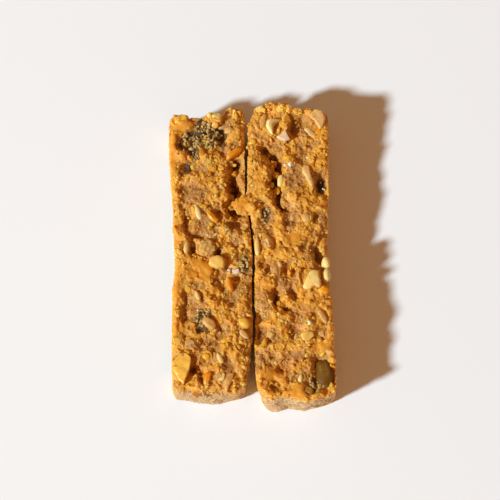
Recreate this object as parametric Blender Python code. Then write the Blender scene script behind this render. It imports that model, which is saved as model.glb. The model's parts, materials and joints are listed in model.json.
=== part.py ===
"""A nut butter bar split lengthwise, its two halves lying side by side with the torn faces up.

Metres, +Z up, +Y along the bar. The origin is on the surface that the bar lies on, under the
middle of its box. Each half is a block of dough whose plan follows a few stations, with a flat
base, smooth pressed outer sides and a torn, craggy top. Nuts, seeds and scraps of fruit that stick
out of the torn face are fused to it. A flap of dough of the right half reaches over the left half.
"""

from bisect import bisect_right
from collections.abc import Iterable
from dataclasses import dataclass
from math import cos, exp, pi, radians, sin, sqrt

import bmesh
import bpy
from mathutils import Matrix, Vector, noise

MM = 0.001  # one millimetre, in Blender's metres: every size below is in millimetres

# Driving sizes.
TOP_HEIGHT = 15.4  # mean height of the torn faces above the surface
RIM_RADIUS = 0.7  # rounding of the top edge
CORNER_RADIUS = 1.8  # rounding of the upright corners at the top
FOOT_CORNER_RADIUS = 0.9  # rounding of the same corners at the base
BASE_RADIUS = 0.25  # how far the walls draw in at the base
DOUGH_COLOR = (0.55, 0.27, 0.07)
DOUGH_ROUGHNESS = 0.6

# Cells of each half: across, along and up.
CELLS_ACROSS = 18
CELLS_ALONG = 68
CELLS_UP = 6

# Relief of the torn face: two sizes of crag, and slow waves.
CRAG_SIZE = 4.6
CRAG_RELIEF = 1.15
CRUMB_SIZE = 2.6
CRUMB_RELIEF = 0.55
WAVE_SIZE = 17.0
WAVE_RELIEF = 0.9
# Relief of the walls: the ends are rougher than the pressed sides.
END_GRAIN = 3.4
END_RELIEF = 0.32
SIDE_GRAIN = 11.0
SIDE_RELIEF = 0.2
# The crack between the halves wavers, both of its sides alike, so that it stays open.
CRACK_GRAIN = 3.1
CRACK_WAVER = 0.28

Station = tuple[float, float]


@dataclass(frozen=True)
class Dent:
    """A pit in the torn face: an upright oval bowl with steep sides."""

    x: float
    y: float
    half_width: float
    half_length: float
    depth: float
    turn: float = 0.0


@dataclass(frozen=True)
class Morsel:
    """A nut, seed or lump fused to the torn face: a squashed, uneven ball.

    x, y and the half sizes are seen from above, rise is how far its top stands over the mean
    height of the torn face, and turn swings its long axis from +Y towards -X, in degrees.
    """

    x: float
    y: float
    half_width: float
    half_length: float
    rise: float
    turn: float = 0.0
    half_height: float = 1.4
    power: float = 2.5


@dataclass(frozen=True)
class Half:
    """One half of the bar, by stations: x along y for its sides, y along x for its ends."""

    name: str
    left: tuple[Station, ...]
    right: tuple[Station, ...]
    front: tuple[Station, ...]
    back: tuple[Station, ...]
    front_foot: tuple[Station, ...]
    lean: tuple[Station, ...]
    crack_side: int
    dents: tuple[Dent, ...]
    morsels: tuple[Morsel, ...]


LEFT_HALF = Half(
    name="half_left",
    left=((-41.0, -23.4), (-30.0, -23.65), (-16.0, -23.6), (-4.0, -23.1), (10.0, -23.6),
          (24.0, -24.6), (34.0, -25.3), (42.0, -25.1)),
    right=((-42.0, -1.3), (-34.0, -0.4), (-25.0, 0.4), (-14.0, 0.2), (-2.0, 0.4), (8.0, -0.5),
           (18.0, -1.75), (30.0, -1.95), (45.0, -2.3)),
    front=((-23.0, -43.5), (-14.0, -44.2), (-4.0, -44.9), (-2.0, -44.3)),
    back=((-24.9, 42.4), (-21.3, 43.3), (-18.0, 42.0), (-14.5, 42.2), (-10.5, 44.1), (-7.4, 43.3),
          (-5.4, 45.6), (-2.3, 45.9)),
    front_foot=((-23.0, -43.5), (-17.0, -44.3), (-10.5, -44.9), (-6.0, -44.0), (-2.0, -43.3)),
    lean=((-45.0, 0.9), (-30.0, 0.7), (0.0, 0.5), (45.0, 0.5)),
    crack_side=1,
    dents=(
        Dent(-9.2, 36.3, 2.0, 3.0, 2.6),
        Dent(-16.3, 35.6, 3.6, 1.9, 1.4),
        Dent(-17.4, 31.4, 1.6, 2.2, 1.3),
        Dent(-21.2, 32.9, 1.3, 1.8, 1.2),
        Dent(-19.4, 25.6, 1.2, 2.4, 1.2),
        Dent(-4.9, 26.8, 1.9, 2.9, 4.2),
        Dent(-5.6, 19.8, 1.8, 4.0, 6.0, 14.0),
        Dent(-5.6, 12.9, 2.4, 2.9, 4.0),
        Dent(-2.8, 13.6, 3.2, 4.9, 2.9),
        Dent(-10.0, 10.9, 1.2, 1.3, 1.7),
        Dent(-4.5, 7.5, 2.1, 1.4, 1.5),
        Dent(-19.3, 7.6, 1.3, 4.0, 1.4),
        Dent(-15.9, 4.2, 1.9, 1.1, 1.9),
        Dent(-17.8, 0.4, 1.1, 2.6, 2.8, 12.0),
        Dent(-9.7, -1.0, 1.2, 1.4, 1.9),
        Dent(-4.5, -9.4, 1.8, 1.2, 1.9),
        Dent(-8.2, -11.7, 0.9, 1.6, 1.4),
        Dent(-19.4, -15.6, 1.3, 4.4, 1.3, -6.0),
        Dent(-19.6, -21.2, 1.2, 1.5, 1.4),
        Dent(-14.6, -25.0, 2.1, 1.4, 1.5),
        Dent(-9.6, -24.6, 1.7, 1.2, 1.4),
        Dent(-9.9, -28.4, 1.9, 0.9, 1.0),
        Dent(-17.0, -37.2, 1.9, 1.4, 1.9),
        Dent(-14.3, -39.4, 0.9, 2.6, 1.7),
        Dent(-2.6, 44.2, 2.9, 3.4, 2.6),
    ),
    morsels=(
        Morsel(-20.8, 41.3, 2.0, 1.7, 0.9),
        Morsel(-11.0, 41.3, 2.2, 2.1, 1.2),
        Morsel(-4.5, 43.0, 1.7, 2.4, -0.4),
        Morsel(-5.5, 30.4, 0.9, 2.9, 1.1, -52.0),
        Morsel(-15.4, 30.2, 0.8, 3.2, 0.9, 24.0),
        Morsel(-16.6, 11.3, 1.1, 2.9, 0.8, 12.0),
        Morsel(-12.0, 10.3, 0.9, 2.2, 0.8, 30.0),
        Morsel(-7.8, 5.7, 0.9, 2.3, 0.8, 20.0),
        Morsel(-19.6, 0.2, 0.9, 2.0, 0.7),
        Morsel(-13.3, 0.1, 3.1, 2.3, 1.0),
        Morsel(-10.0, -4.5, 2.6, 1.9, 1.2),
        Morsel(-16.2, -14.6, 0.9, 1.9, 0.7, 24.0),
        Morsel(-6.7, -11.5, 0.9, 2.1, 0.8),
        Morsel(-13.0, -23.4, 1.6, 1.8, 0.8),
        Morsel(-2.4, -23.4, 1.9, 2.3, 0.9, 20.0),
        Morsel(-18.2, -29.8, 1.5, 1.6, 0.6),
        Morsel(-21.1, -35.4, 2.2, 3.3, 1.2, -6.0),
        Morsel(-9.2, -34.2, 0.8, 2.1, 0.8, 22.0),
        Morsel(-12.8, -40.3, 1.3, 2.1, 0.7),
        Morsel(-6.4, -40.6, 1.1, 2.8, 0.8, -16.0),
    ),
)

RIGHT_HALF = Half(
    name="half_right",
    left=((-44.5, 1.9), (-41.0, 1.6), (-36.0, 1.0), (-24.0, 1.1), (-10.0, 0.9), (0.0, 1.0),
          (9.0, 0.15), (17.0, -1.05), (24.0, -1.15), (30.0, -0.95), (36.0, -1.15), (40.0, -0.8),
          (45.0, 1.4)),
    right=((-44.5, 25.0), (-40.0, 25.2), (-32.0, 24.75), (-22.0, 24.6), (-12.0, 23.8), (-4.0, 23.2),
           (9.0, 23.35), (22.0, 23.65), (36.0, 23.8), (44.0, 23.4)),
    front=((2.0, -44.4), (5.0, -45.8), (8.5, -45.5), (14.0, -46.0), (17.8, -47.1), (21.7, -46.3),
           (25.0, -45.0)),
    back=((1.0, 45.3), (6.5, 47.1), (12.3, 46.5), (14.0, 45.2), (16.5, 44.8), (20.0, 45.2),
          (23.4, 44.2)),
    front_foot=((2.0, -46.7), (5.2, -47.2), (10.3, -46.3), (14.7, -46.8), (18.0, -46.1),
                (22.0, -45.5), (25.0, -44.4)),
    lean=((-47.0, 2.2), (-36.0, 1.5), (-20.0, 0.8), (47.0, 0.5)),
    crack_side=-1,
    dents=(
        Dent(13.1, 39.2, 1.5, 3.6, 1.9),
        Dent(15.7, 40.8, 1.2, 2.0, 1.8),
        Dent(4.0, 31.3, 1.6, 1.7, 2.6),
        Dent(6.1, 29.2, 1.8, 1.6, 3.6),
        Dent(7.9, 25.6, 1.9, 3.3, 4.8),
        Dent(6.9, 20.9, 1.9, 2.4, 5.2),
        Dent(8.2, 16.3, 1.3, 3.5, 3.6),
        Dent(9.7, 12.4, 2.0, 1.2, 2.5),
        Dent(21.2, 19.8, 1.6, 3.2, 2.0, 10.0),
        Dent(4.4, 10.8, 1.8, 2.4, 1.0),
        Dent(11.6, 9.0, 2.0, 1.4, 1.1),
        Dent(21.2, 3.6, 1.0, 3.0, 1.9, -18.0),
        Dent(19.6, -1.8, 1.2, 3.2, 2.9, 10.0),
        Dent(7.0, 2.4, 0.9, 2.7, 1.3),
        Dent(5.2, -4.6, 2.2, 1.1, 1.2),
        Dent(11.4, -7.6, 2.4, 2.4, 1.7),
        Dent(23.6, -3.8, 2.9, 7.6, 2.8),
        Dent(7.6, -15.2, 1.2, 3.2, 2.9),
        Dent(12.8, -14.4, 1.3, 1.9, 2.0),
        Dent(10.4, -18.7, 1.3, 1.7, 2.3),
        Dent(2.6, -25.6, 2.0, 6.0, 2.2),
        Dent(13.0, -25.7, 2.1, 2.3, 2.0),
        Dent(9.2, -37.0, 1.9, 1.4, 1.3),
        Dent(21.6, -38.4, 2.8, 4.8, 3.2, 14.0),
        Dent(17.5, -43.8, 2.0, 1.8, 1.2),
        Dent(6.8, -42.6, 1.8, 2.2, 0.8),
    ),
    morsels=(
        Morsel(6.5, 45.6, 3.0, 1.2, 0.9),
        Morsel(20.4, 41.5, 2.4, 2.9, 1.3),
        Morsel(5.9, 38.7, 1.1, 2.8, 1.1, -24.0),
        Morsel(9.8, 40.0, 1.7, 1.5, 0.9),
        Morsel(9.9, 35.8, 1.8, 1.9, 1.0),
        Morsel(11.0, 28.6, 1.8, 1.3, 0.6),
        Morsel(9.0, 21.6, 1.1, 2.0, -0.4),
        Morsel(17.5, 22.2, 1.1, 3.9, 0.6, 14.0),
        Morsel(10.2, 15.1, 1.5, 2.0, 0.1),
        Morsel(17.2, 8.8, 1.5, 1.8, 0.8),
        Morsel(1.9, 1.0, 0.8, 2.9, 0.7),
        Morsel(5.0, 1.4, 1.3, 1.7, 0.7),
        Morsel(14.2, -8.6, 0.8, 3.2, 0.7, 8.0),
        Morsel(18.4, -9.4, 2.7, 3.0, 1.2),
        Morsel(22.4, -4.2, 0.9, 1.9, -1.7),
        Morsel(22.4, -8.0, 1.0, 2.2, -1.7),
        Morsel(22.0, -13.1, 1.4, 1.4, 0.8),
        Morsel(20.8, -20.5, 1.1, 3.4, 0.8, 26.0),
        Morsel(16.4, -27.3, 2.0, 1.5, 0.9),
        Morsel(3.6, -30.2, 1.0, 2.6, 0.3, -20.0),
        Morsel(21.9, -38.3, 1.9, 4.1, -0.6, 12.0),
    ),
)

# The flap: a thin tongue of the right half's dough, over the crack and the left half's pit.
FLAP = Morsel(-1.0, 13.6, 4.3, 3.2, 0.35, turn=6.0, half_height=0.85, power=3.6)
FLAP_RIPPLE = 0.1

MORSEL_RIPPLE = 0.14  # unevenness of a morsel, as a share of its size


def through(stations: tuple[Station, ...], place: float) -> float:
    """Return the value at a place on the smooth curve through (place, value) stations."""
    places = [station[0] for station in stations]
    last = len(stations) - 2
    index = min(max(bisect_right(places, place) - 1, 0), last)
    (place_a, value_a), (place_b, value_b) = stations[index], stations[index + 1]
    span = place_b - place_a
    share = min(max((place - place_a) / span, 0.0), 1.0)

    def slope(at: int) -> float:
        before, after = stations[max(at - 1, 0)], stations[min(at + 1, last + 1)]
        return (after[1] - before[1]) / (after[0] - before[0])

    rise_a, rise_b = slope(index) * span, slope(index + 1) * span
    ease = share * share * (3.0 - 2.0 * share)
    pull_a = share * (1.0 - share) ** 2 * rise_a
    pull_b = share * share * (share - 1.0) * rise_b
    return value_a + (value_b - value_a) * ease + pull_a + pull_b


def rounding(distance: float, radius: float) -> float:
    """Return how far a round of this radius draws in, at a distance from the edge."""
    if distance >= radius:
        return 0.0
    return radius - sqrt(radius * radius - (radius - max(distance, 0.0)) ** 2)


def oval(x: float, y: float, shape: Dent | Morsel) -> float:
    """Return the distance of a point from an oval's middle, 1 on its edge."""
    angle = radians(shape.turn)
    across = (x - shape.x) * cos(angle) + (y - shape.y) * sin(angle)
    along = (y - shape.y) * cos(angle) - (x - shape.x) * sin(angle)
    return sqrt((across / shape.half_width) ** 2 + (along / shape.half_length) ** 2)


def bumps(x: float, y: float, size: float, seed: float) -> float:
    """Return rounded lumps of about this size, from 0 in the clefts to 1 on their tops."""
    near = noise.voronoi(Vector((x / size, y / size, seed)))[0][0]
    return max(0.0, 1.0 - near * near * 1.6)


def wave(x: float, y: float, z: float, size: float) -> float:
    """Return smooth noise of about this size, from -1 to 1."""
    return noise.noise(Vector((x / size, y / size, z / size)))


def torn_height(half: Half, x: float, y: float) -> float:
    """Return the height of a half's torn face over the point (x, y)."""
    height = TOP_HEIGHT + WAVE_RELIEF * wave(x, y, 0.0, WAVE_SIZE)
    height += CRAG_RELIEF * (bumps(x, y, CRAG_SIZE, 3.7) - 0.5)
    height += CRUMB_RELIEF * (bumps(x, y, CRUMB_SIZE, 9.1) - 0.5)
    pits = sum(dent.depth * exp(-0.9 * oval(x, y, dent) ** 3.0) for dent in half.dents)
    return height - pits


def crack_waver(y: float) -> float:
    """Return how far both sides of the crack swing aside at y."""
    return CRACK_WAVER * wave(0.0, y, 5.3, CRACK_GRAIN)


def plan_point(half: Half, across: float, along: float, up: float) -> Station:
    """Return (x, y) of the block's point at these shares of its width, length and height."""
    left_end, right_end = half.front[0][0], half.front[-1][0]
    at = left_end + (right_end - left_end) * across
    top_front, foot_front = through(half.front, at), through(half.front_foot, at)
    front = foot_front + (top_front - foot_front) * up
    back = through(half.back, at)
    y = front + (back - front) * along
    side_left, side_right = through(half.left, y), through(half.right, y)
    lean = through(half.lean, y) * (1.0 - up)
    if half.crack_side > 0:
        side_right += crack_waver(y) - lean
    else:
        side_left += crack_waver(y) + lean
    corner = FOOT_CORNER_RADIUS + (CORNER_RADIUS - FOOT_CORNER_RADIUS) * up
    inset = rounding(min(y - front, back - y), corner)
    side_left += inset
    side_right -= inset
    return side_left + (side_right - side_left) * across, y


def wall_relief(x: float, y: float, z: float, is_end: bool) -> float:
    """Return how far a wall stands out at a point."""
    if is_end:
        return END_RELIEF * wave(x, y, z, END_GRAIN)
    return SIDE_RELIEF * wave(x, y, z, SIDE_GRAIN)


def block_point(half: Half, across: float, along: float, up: float) -> Vector:
    """Return the place of one vertex of a half, from its place in the unit cube."""
    x, y = plan_point(half, across, along, up)
    top = torn_height(half, x, y)
    side_gap = min(across, 1.0 - across)
    end_gap = min(along, 1.0 - along)
    on_wall = side_gap < 1e-6 or end_gap < 1e-6
    if not on_wall:
        return Vector((x, y, top)) if up > 0.5 else Vector((x, y, 0.0))
    z = (top - RIM_RADIUS) * up
    draw_in = rounding(z, BASE_RADIUS)
    if end_gap < 1e-6:
        out = 1.0 if along > 0.5 else -1.0
        y += out * (wall_relief(x, y, z, True) * up - draw_in)
    else:
        out = 1.0 if across > 0.5 else -1.0
        faces_crack = out == half.crack_side
        relief = 0.0 if faces_crack else wall_relief(x, y, z, False)
        x += out * (relief - draw_in)
    return Vector((x, y, z))


def sliced_cube() -> bmesh.types.BMesh:
    """Return a unit cube whose six faces are cut into cells, with its corner at the origin."""
    block = bmesh.new()
    bmesh.ops.create_cube(block, size=1.0)
    bmesh.ops.translate(block, vec=(0.5, 0.5, 0.5), verts=block.verts)
    for axis, cells in enumerate((CELLS_ACROSS, CELLS_ALONG, CELLS_UP)):
        edges = [edge for edge in block.edges
                 if abs((edge.verts[0].co - edge.verts[1].co)[axis]) > 0.5]
        bmesh.ops.subdivide_edges(block, edges=edges, cuts=cells - 1, use_grid_fill=True)
    return block


def dough_mesh(half: Half) -> bpy.types.Mesh:
    """Return the closed mesh of one half, without its morsels."""
    block = sliced_cube()
    underside = [face for face in block.faces if all(vert.co.z < 1e-6 for vert in face.verts)]
    bmesh.ops.dissolve_faces(block, faces=underside, use_verts=True)
    for vert in block.verts:
        vert.co = block_point(half, *vert.co) * MM
    bmesh.ops.triangulate(block, faces=block.faces)
    mesh = bpy.data.meshes.new(half.name)
    block.to_mesh(mesh)
    block.free()
    return mesh


def shape_ball(points: Iterable[Vector], power: float, share: float, seed: float) -> None:
    """Make the points of a unit ball blunter, and push them in and out by a share of its radius."""
    for point in points:
        reach = sum(abs(part) ** power for part in point) ** (1.0 / power)
        swell = noise.noise(Vector((point.x * 1.3 + seed, point.y * 1.3, point.z * 1.3)))
        point *= (1.0 + share * 2.0 * swell) / reach


def add_morsel(morsel: Morsel, collection: bpy.types.Collection, seed: float,
               share: float = MORSEL_RIPPLE, rounds: int = 1) -> bpy.types.Object:
    """Add one morsel as a squashed, blunted and rippled icosphere."""
    ball = bmesh.new()
    bmesh.ops.create_icosphere(ball, subdivisions=rounds + 1, radius=1.0)
    shape_ball((vert.co for vert in ball.verts), morsel.power, share, seed)
    size = Vector((morsel.half_width, morsel.half_length, morsel.half_height)) * MM
    middle = TOP_HEIGHT + morsel.rise - morsel.half_height
    turn = Matrix.Rotation(radians(morsel.turn), 4, "Z")
    place = Matrix.Translation(Vector((morsel.x, morsel.y, middle)) * MM)
    bmesh.ops.transform(ball, matrix=place @ turn @ Matrix.Diagonal(size).to_4x4(), verts=ball.verts)
    mesh = bpy.data.meshes.new("morsel")
    ball.to_mesh(mesh)
    ball.free()
    piece = bpy.data.objects.new("morsel", mesh)
    piece.hide_render = True
    piece.display_type = "WIRE"
    collection.objects.link(piece)
    return piece


def fuse(body: bpy.types.Object, pieces: bpy.types.Collection) -> None:
    """Join every object of a collection to the body, then remove the collection."""
    join = body.modifiers.new("fuse", "BOOLEAN")
    join.operation = "UNION"
    join.solver = "EXACT"
    join.operand_type = "COLLECTION"
    join.collection = pieces
    bpy.context.view_layer.update()
    depsgraph = bpy.context.evaluated_depsgraph_get()
    fused = bpy.data.meshes.new_from_object(body.evaluated_get(depsgraph))
    body.modifiers.remove(join)
    body.data = fused
    for piece in list(pieces.objects):
        bpy.data.objects.remove(piece)
    bpy.data.collections.remove(pieces)


def keep_largest(mesh: bpy.types.Mesh) -> None:
    """Drop loose scraps, so that the mesh is one body, and split its faces into triangles."""
    body = bmesh.new()
    body.from_mesh(mesh)
    unseen, shells = set(body.verts), []
    while unseen:
        edge_of_shell, shell = [unseen.pop()], []
        while edge_of_shell:
            vert = edge_of_shell.pop()
            shell.append(vert)
            for edge in vert.link_edges:
                other = edge.other_vert(vert)
                if other in unseen:
                    unseen.remove(other)
                    edge_of_shell.append(other)
        shells.append(shell)
    shells.sort(key=len)
    for shell in shells[:-1]:
        bmesh.ops.delete(body, geom=shell, context="VERTS")
    bmesh.ops.triangulate(body, faces=body.faces)
    body.to_mesh(mesh)
    body.free()


def dough_material(name: str) -> bpy.types.Material:
    """Return the dough's material."""
    material = bpy.data.materials.new(name)
    material.use_nodes = True
    shader = material.node_tree.nodes["Principled BSDF"]
    shader.inputs["Base Color"].default_value = (*DOUGH_COLOR, 1.0)
    shader.inputs["Roughness"].default_value = DOUGH_ROUGHNESS
    shader.inputs["Metallic"].default_value = 0.0
    return material


def add_half(half: Half, bar: bpy.types.Collection) -> bpy.types.Object:
    """Add one half of the bar, with its morsels fused on."""
    body = bpy.data.objects.new(half.name, dough_mesh(half))
    bar.objects.link(body)
    pieces = bpy.data.collections.new("morsels")
    bpy.context.scene.collection.children.link(pieces)
    for number, morsel in enumerate(half.morsels):
        add_morsel(morsel, pieces, seed=number * 7.3)
    if half.crack_side < 0:
        add_morsel(FLAP, pieces, seed=2.0, share=FLAP_RIPPLE, rounds=2)
    fuse(body, pieces)
    keep_largest(body.data)
    body.data.materials.clear()
    body.data.materials.append(dough_material(half.name))
    body.data.shade_smooth()
    body.data.set_sharp_from_angle(angle=radians(50.0))
    return body


def main() -> None:
    """Build both halves in a collection of their own."""
    for item in list(bpy.data.objects):
        bpy.data.objects.remove(item)
    bar = bpy.data.collections.new("nut_butter_bar")
    bpy.context.scene.collection.children.link(bar)
    for half in (LEFT_HALF, RIGHT_HALF):
        add_half(half, bar)


main()
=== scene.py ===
"""Finish of a nut butter bar that was broken open lengthwise, its two halves torn face up.

Each half's dough is the frame's solid, covered in torn crumbs and remeshed into one craggy skin.
Nuts, seeds, scraps of fruit and sugar crystals are pressed into it, one mesh for each kind.
"""

from __future__ import annotations

import json
import logging
import math
from dataclasses import dataclass
from enum import Enum

import bmesh
import bpy
import numpy as np
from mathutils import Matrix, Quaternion, Vector, noise
from mathutils.bvhtree import BVHTree

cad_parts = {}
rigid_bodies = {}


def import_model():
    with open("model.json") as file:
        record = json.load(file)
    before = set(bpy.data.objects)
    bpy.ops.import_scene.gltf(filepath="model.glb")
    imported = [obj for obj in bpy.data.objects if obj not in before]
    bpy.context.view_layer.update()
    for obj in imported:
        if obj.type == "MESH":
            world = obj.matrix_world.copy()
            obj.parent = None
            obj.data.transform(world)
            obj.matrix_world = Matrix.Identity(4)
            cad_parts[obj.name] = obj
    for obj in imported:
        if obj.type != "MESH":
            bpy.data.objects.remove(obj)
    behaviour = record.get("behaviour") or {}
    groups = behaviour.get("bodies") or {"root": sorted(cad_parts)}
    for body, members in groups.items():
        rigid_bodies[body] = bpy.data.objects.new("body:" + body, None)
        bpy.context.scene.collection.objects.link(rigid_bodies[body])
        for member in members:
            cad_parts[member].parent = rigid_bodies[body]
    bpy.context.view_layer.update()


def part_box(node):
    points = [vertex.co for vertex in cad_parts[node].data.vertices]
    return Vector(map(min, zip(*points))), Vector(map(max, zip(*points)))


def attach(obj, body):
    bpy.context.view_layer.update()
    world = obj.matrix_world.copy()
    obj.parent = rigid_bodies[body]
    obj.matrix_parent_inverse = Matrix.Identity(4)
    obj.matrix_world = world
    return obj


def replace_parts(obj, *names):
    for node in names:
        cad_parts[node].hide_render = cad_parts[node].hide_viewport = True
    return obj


LOG = logging.getLogger("nut_butter_bar")
MM = 0.001
BODY = "root"

# Rays that look for the dough start at this height, over everything, and go straight down.
SKY = 30.0 * MM
DOWN = Vector((0.0, 0.0, -1.0))

Array = np.ndarray
Draw = np.random.Generator
Span = tuple[float, float]
Triple = tuple[float, float, float]
Color = Triple
Part = tuple[Array, Array]
Hit = tuple[Vector, Vector]
Piece = bpy.types.Object
Mesh = bpy.types.Mesh
Material = bpy.types.Material
Tree = bpy.types.NodeTree
Node = bpy.types.Node
Socket = bpy.types.NodeSocket
Weighed = tuple[Socket, float]


class Side(Enum):
    """Which half of the bar: its sign is the side, along X, of its smooth outer wall."""

    LEFT = -1
    RIGHT = 1


# ---------------- small tools


def deselect_all() -> None:
    """Deselect every object, so that an operator acts only on the piece in hand."""
    for item in bpy.data.objects:
        item.select_set(False)


def make_active(piece: Piece) -> None:
    """Select one piece alone and make it active.

    Args:
        piece: The piece that the next operators act on.
    """
    deselect_all()
    piece.select_set(True)
    bpy.context.view_layer.objects.active = piece


def apply_modifiers(piece: Piece) -> None:
    """Apply all of a piece's modifiers, in order.

    Args:
        piece: The piece whose modifiers are applied.
    """
    make_active(piece)
    for modifier in list(piece.modifiers):
        bpy.ops.object.modifier_apply(modifier=modifier.name)


def vertex_array(mesh: Mesh, of: str = "co") -> Array:
    """Return the places of a mesh's vertices in metres, or their normals.

    Args:
        mesh: The mesh to read.
        of: What to read of each vertex, "co" or "normal".

    Returns:
        One row of x, y and z for each vertex.
    """
    rows = np.zeros(len(mesh.vertices) * 3)
    mesh.vertices.foreach_get(of, rows)
    return rows.reshape(-1, 3)


def set_vertices(mesh: Mesh, places: Array) -> None:
    """Move a mesh's vertices to new places, one row of x, y and z in metres for each."""
    mesh.vertices.foreach_set("co", places.ravel())
    mesh.update()


def face_array(mesh: Mesh) -> Array:
    """Return the corners of a mesh of triangles.

    Args:
        mesh: A mesh whose faces are all triangles.

    Returns:
        One row of three vertex numbers for each face.
    """
    corners = np.zeros(len(mesh.loops), dtype=np.int64)
    mesh.loops.foreach_get("vertex_index", corners)
    return corners.reshape(-1, 3)


def surface_tree(mesh: Mesh) -> BVHTree:
    """Return a tree to cast rays on a mesh."""
    corners = [list(face.vertices) for face in mesh.polygons]
    return BVHTree.FromPolygons(vertex_array(mesh).tolist(), corners)


def taken_part(piece: Piece) -> Part:
    """Return a primitive's places and triangles, and remove the primitive.

    Args:
        piece: An object whose faces are all triangles.

    Returns:
        The vertex places and the triangles.
    """
    mesh = piece.data
    part = vertex_array(mesh), face_array(mesh)
    bpy.data.objects.remove(piece)
    bpy.data.meshes.remove(mesh)
    return part


def joined_mesh(name: str, parts: list[Part]) -> Mesh:
    """Return one mesh that holds many parts side by side.

    Args:
        name: The mesh's name.
        parts: The vertex places and triangles of each part.

    Returns:
        The joined mesh.
    """
    starts = np.cumsum([0] + [len(places) for places, _ in parts[:-1]])
    places = np.concatenate([part[0] for part in parts])
    faces = np.concatenate([part[1] + start for part, start in zip(parts, starts)])
    mesh = bpy.data.meshes.new(name)
    mesh.from_pydata(places.tolist(), [], faces.tolist())
    mesh.update()
    return mesh


def add_object(name: str, mesh: Mesh) -> Piece:
    """Add a mesh to the scene as an object at the origin.

    Args:
        name: The piece's name.
        mesh: The piece's mesh, with its place in its vertices.

    Returns:
        The new object.
    """
    piece = bpy.data.objects.new(name, mesh)
    bpy.context.scene.collection.objects.link(piece)
    return piece


def store(mesh: Mesh, name: str, values: Array) -> None:
    """Store one value for each vertex as an attribute that a material can read."""
    attribute = mesh.attributes.new(name, "FLOAT", "POINT")
    attribute.data.foreach_set("value", values.astype(np.float32))


def noise_at(places: Array, size: float, seed: float = 0.0) -> Array:
    """Return smooth noise from -1 to 1, with waves of a size in metres, at rows of places."""
    rows = (places / size + seed).tolist()
    return np.array([noise.noise(row) for row in rows])


def ridge_at(places: Array, size: float, seed: float = 0.0) -> Array:
    """Return noise with sharp ridges, 0.5 on them and about -0.5 between, at rows of places."""
    return 0.5 - 2.0 * np.abs(noise_at(places, size, seed))


@dataclass(frozen=True)
class Wave:
    """Noise of one size: its strength, its waves' size in millimetres, and its pattern."""

    strength: float
    size: float
    seed: float = 0.0


Waves = tuple[Wave, ...]


def waves_at(places: Array, waves: Waves) -> Array:
    """Return the sum of noise of several sizes at rows of places."""
    return sum(wave.strength * noise_at(places, wave.size * MM, wave.seed) for wave in waves)


def smooth_step(low: float, high: float, value: Array) -> Array:
    """Return 0 where a value is below low and 1 above high, with a smooth rise between."""
    share = np.clip((value - low) / (high - low), 0.0, 1.0)
    return share * share * (3.0 - 2.0 * share)


def fade(span: Span, lengths: Array) -> Array:
    """Return 0 where a length in metres is below a span in millimetres, and 1 above it."""
    return smooth_step(span[0] * MM, span[1] * MM, lengths)


def flat_places(spots: Array) -> Array:
    """Return rows of x, y and perhaps z as rows of x, y and 0."""
    return np.c_[spots[:, :2], np.zeros(len(spots))]


@dataclass(frozen=True)
class Oval:
    """An oval seen from above, in millimetres, its long axis turned from +Y towards -X."""

    x: float
    y: float
    half_width: float
    half_length: float
    turn: float = 0.0

    def reach(self, places: Array) -> Array:
        """Return how far places are from the middle, 1 on the oval's edge.

        Args:
            places: Rows of x, y and perhaps z in metres.

        Returns:
            The distance of each place, as a share of the oval's half size.
        """
        angle = math.radians(self.turn)
        dx = places[:, 0] / MM - self.x
        dy = places[:, 1] / MM - self.y
        across = dx * math.cos(angle) + dy * math.sin(angle)
        along = dy * math.cos(angle) - dx * math.sin(angle)
        return np.hypot(across / self.half_width, along / self.half_length)


Ovals = tuple[Oval, ...]

# Where a mask over an oval starts and ends to fade, as shares of the oval's half size.
EDGE = (0.75, 1.15)
SOFT_EDGE = (0.6, 1.5)


def zone(places: Array, ovals: Ovals, ragged: float = 0.35) -> Array:
    """Return a ragged mask over some ovals.

    Args:
        places: Rows of x, y and z in metres.
        ovals: The ovals that it covers.
        ragged: How uneven its edge is, as a share of an oval's size.

    Returns:
        A value from 0 outside to 1 inside for each place.
    """
    mask = np.zeros(len(places))
    if not ovals:
        return mask
    waver = waves_at(places, (Wave(ragged, 1.6, 4.0), Wave(ragged, 0.7, 9.0)))
    for oval in ovals:
        mask = np.maximum(mask, 1.0 - smooth_step(*EDGE, oval.reach(places) + waver))
    return mask


def soft_zone(places: Array, ovals: Ovals) -> Array:
    """Return a mask over some ovals that fades out slowly.

    Args:
        places: Rows of x, y and perhaps z in metres.
        ovals: The ovals that it covers.

    Returns:
        A value from 0 outside to 1 inside for each place.
    """
    mask = np.zeros(len(places))
    for oval in ovals:
        mask = np.maximum(mask, 1.0 - smooth_step(*SOFT_EDGE, oval.reach(places)))
    return mask


# ---------------- shapes of chunks


def random_turn(draw: Draw) -> Array:
    """Return a random rotation as a 3 by 3 matrix."""
    matrix, _ = np.linalg.qr(draw.normal(size=(3, 3)))
    return matrix * np.sign(np.linalg.det(matrix))


def ball(rounds: int) -> Part:
    """Return an icosphere of radius 1.

    Args:
        rounds: Its subdivisions.

    Returns:
        Its places and triangles.
    """
    deselect_all()
    bpy.ops.mesh.primitive_ico_sphere_add(subdivisions=rounds, radius=1.0)
    return taken_part(bpy.context.object)


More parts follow.
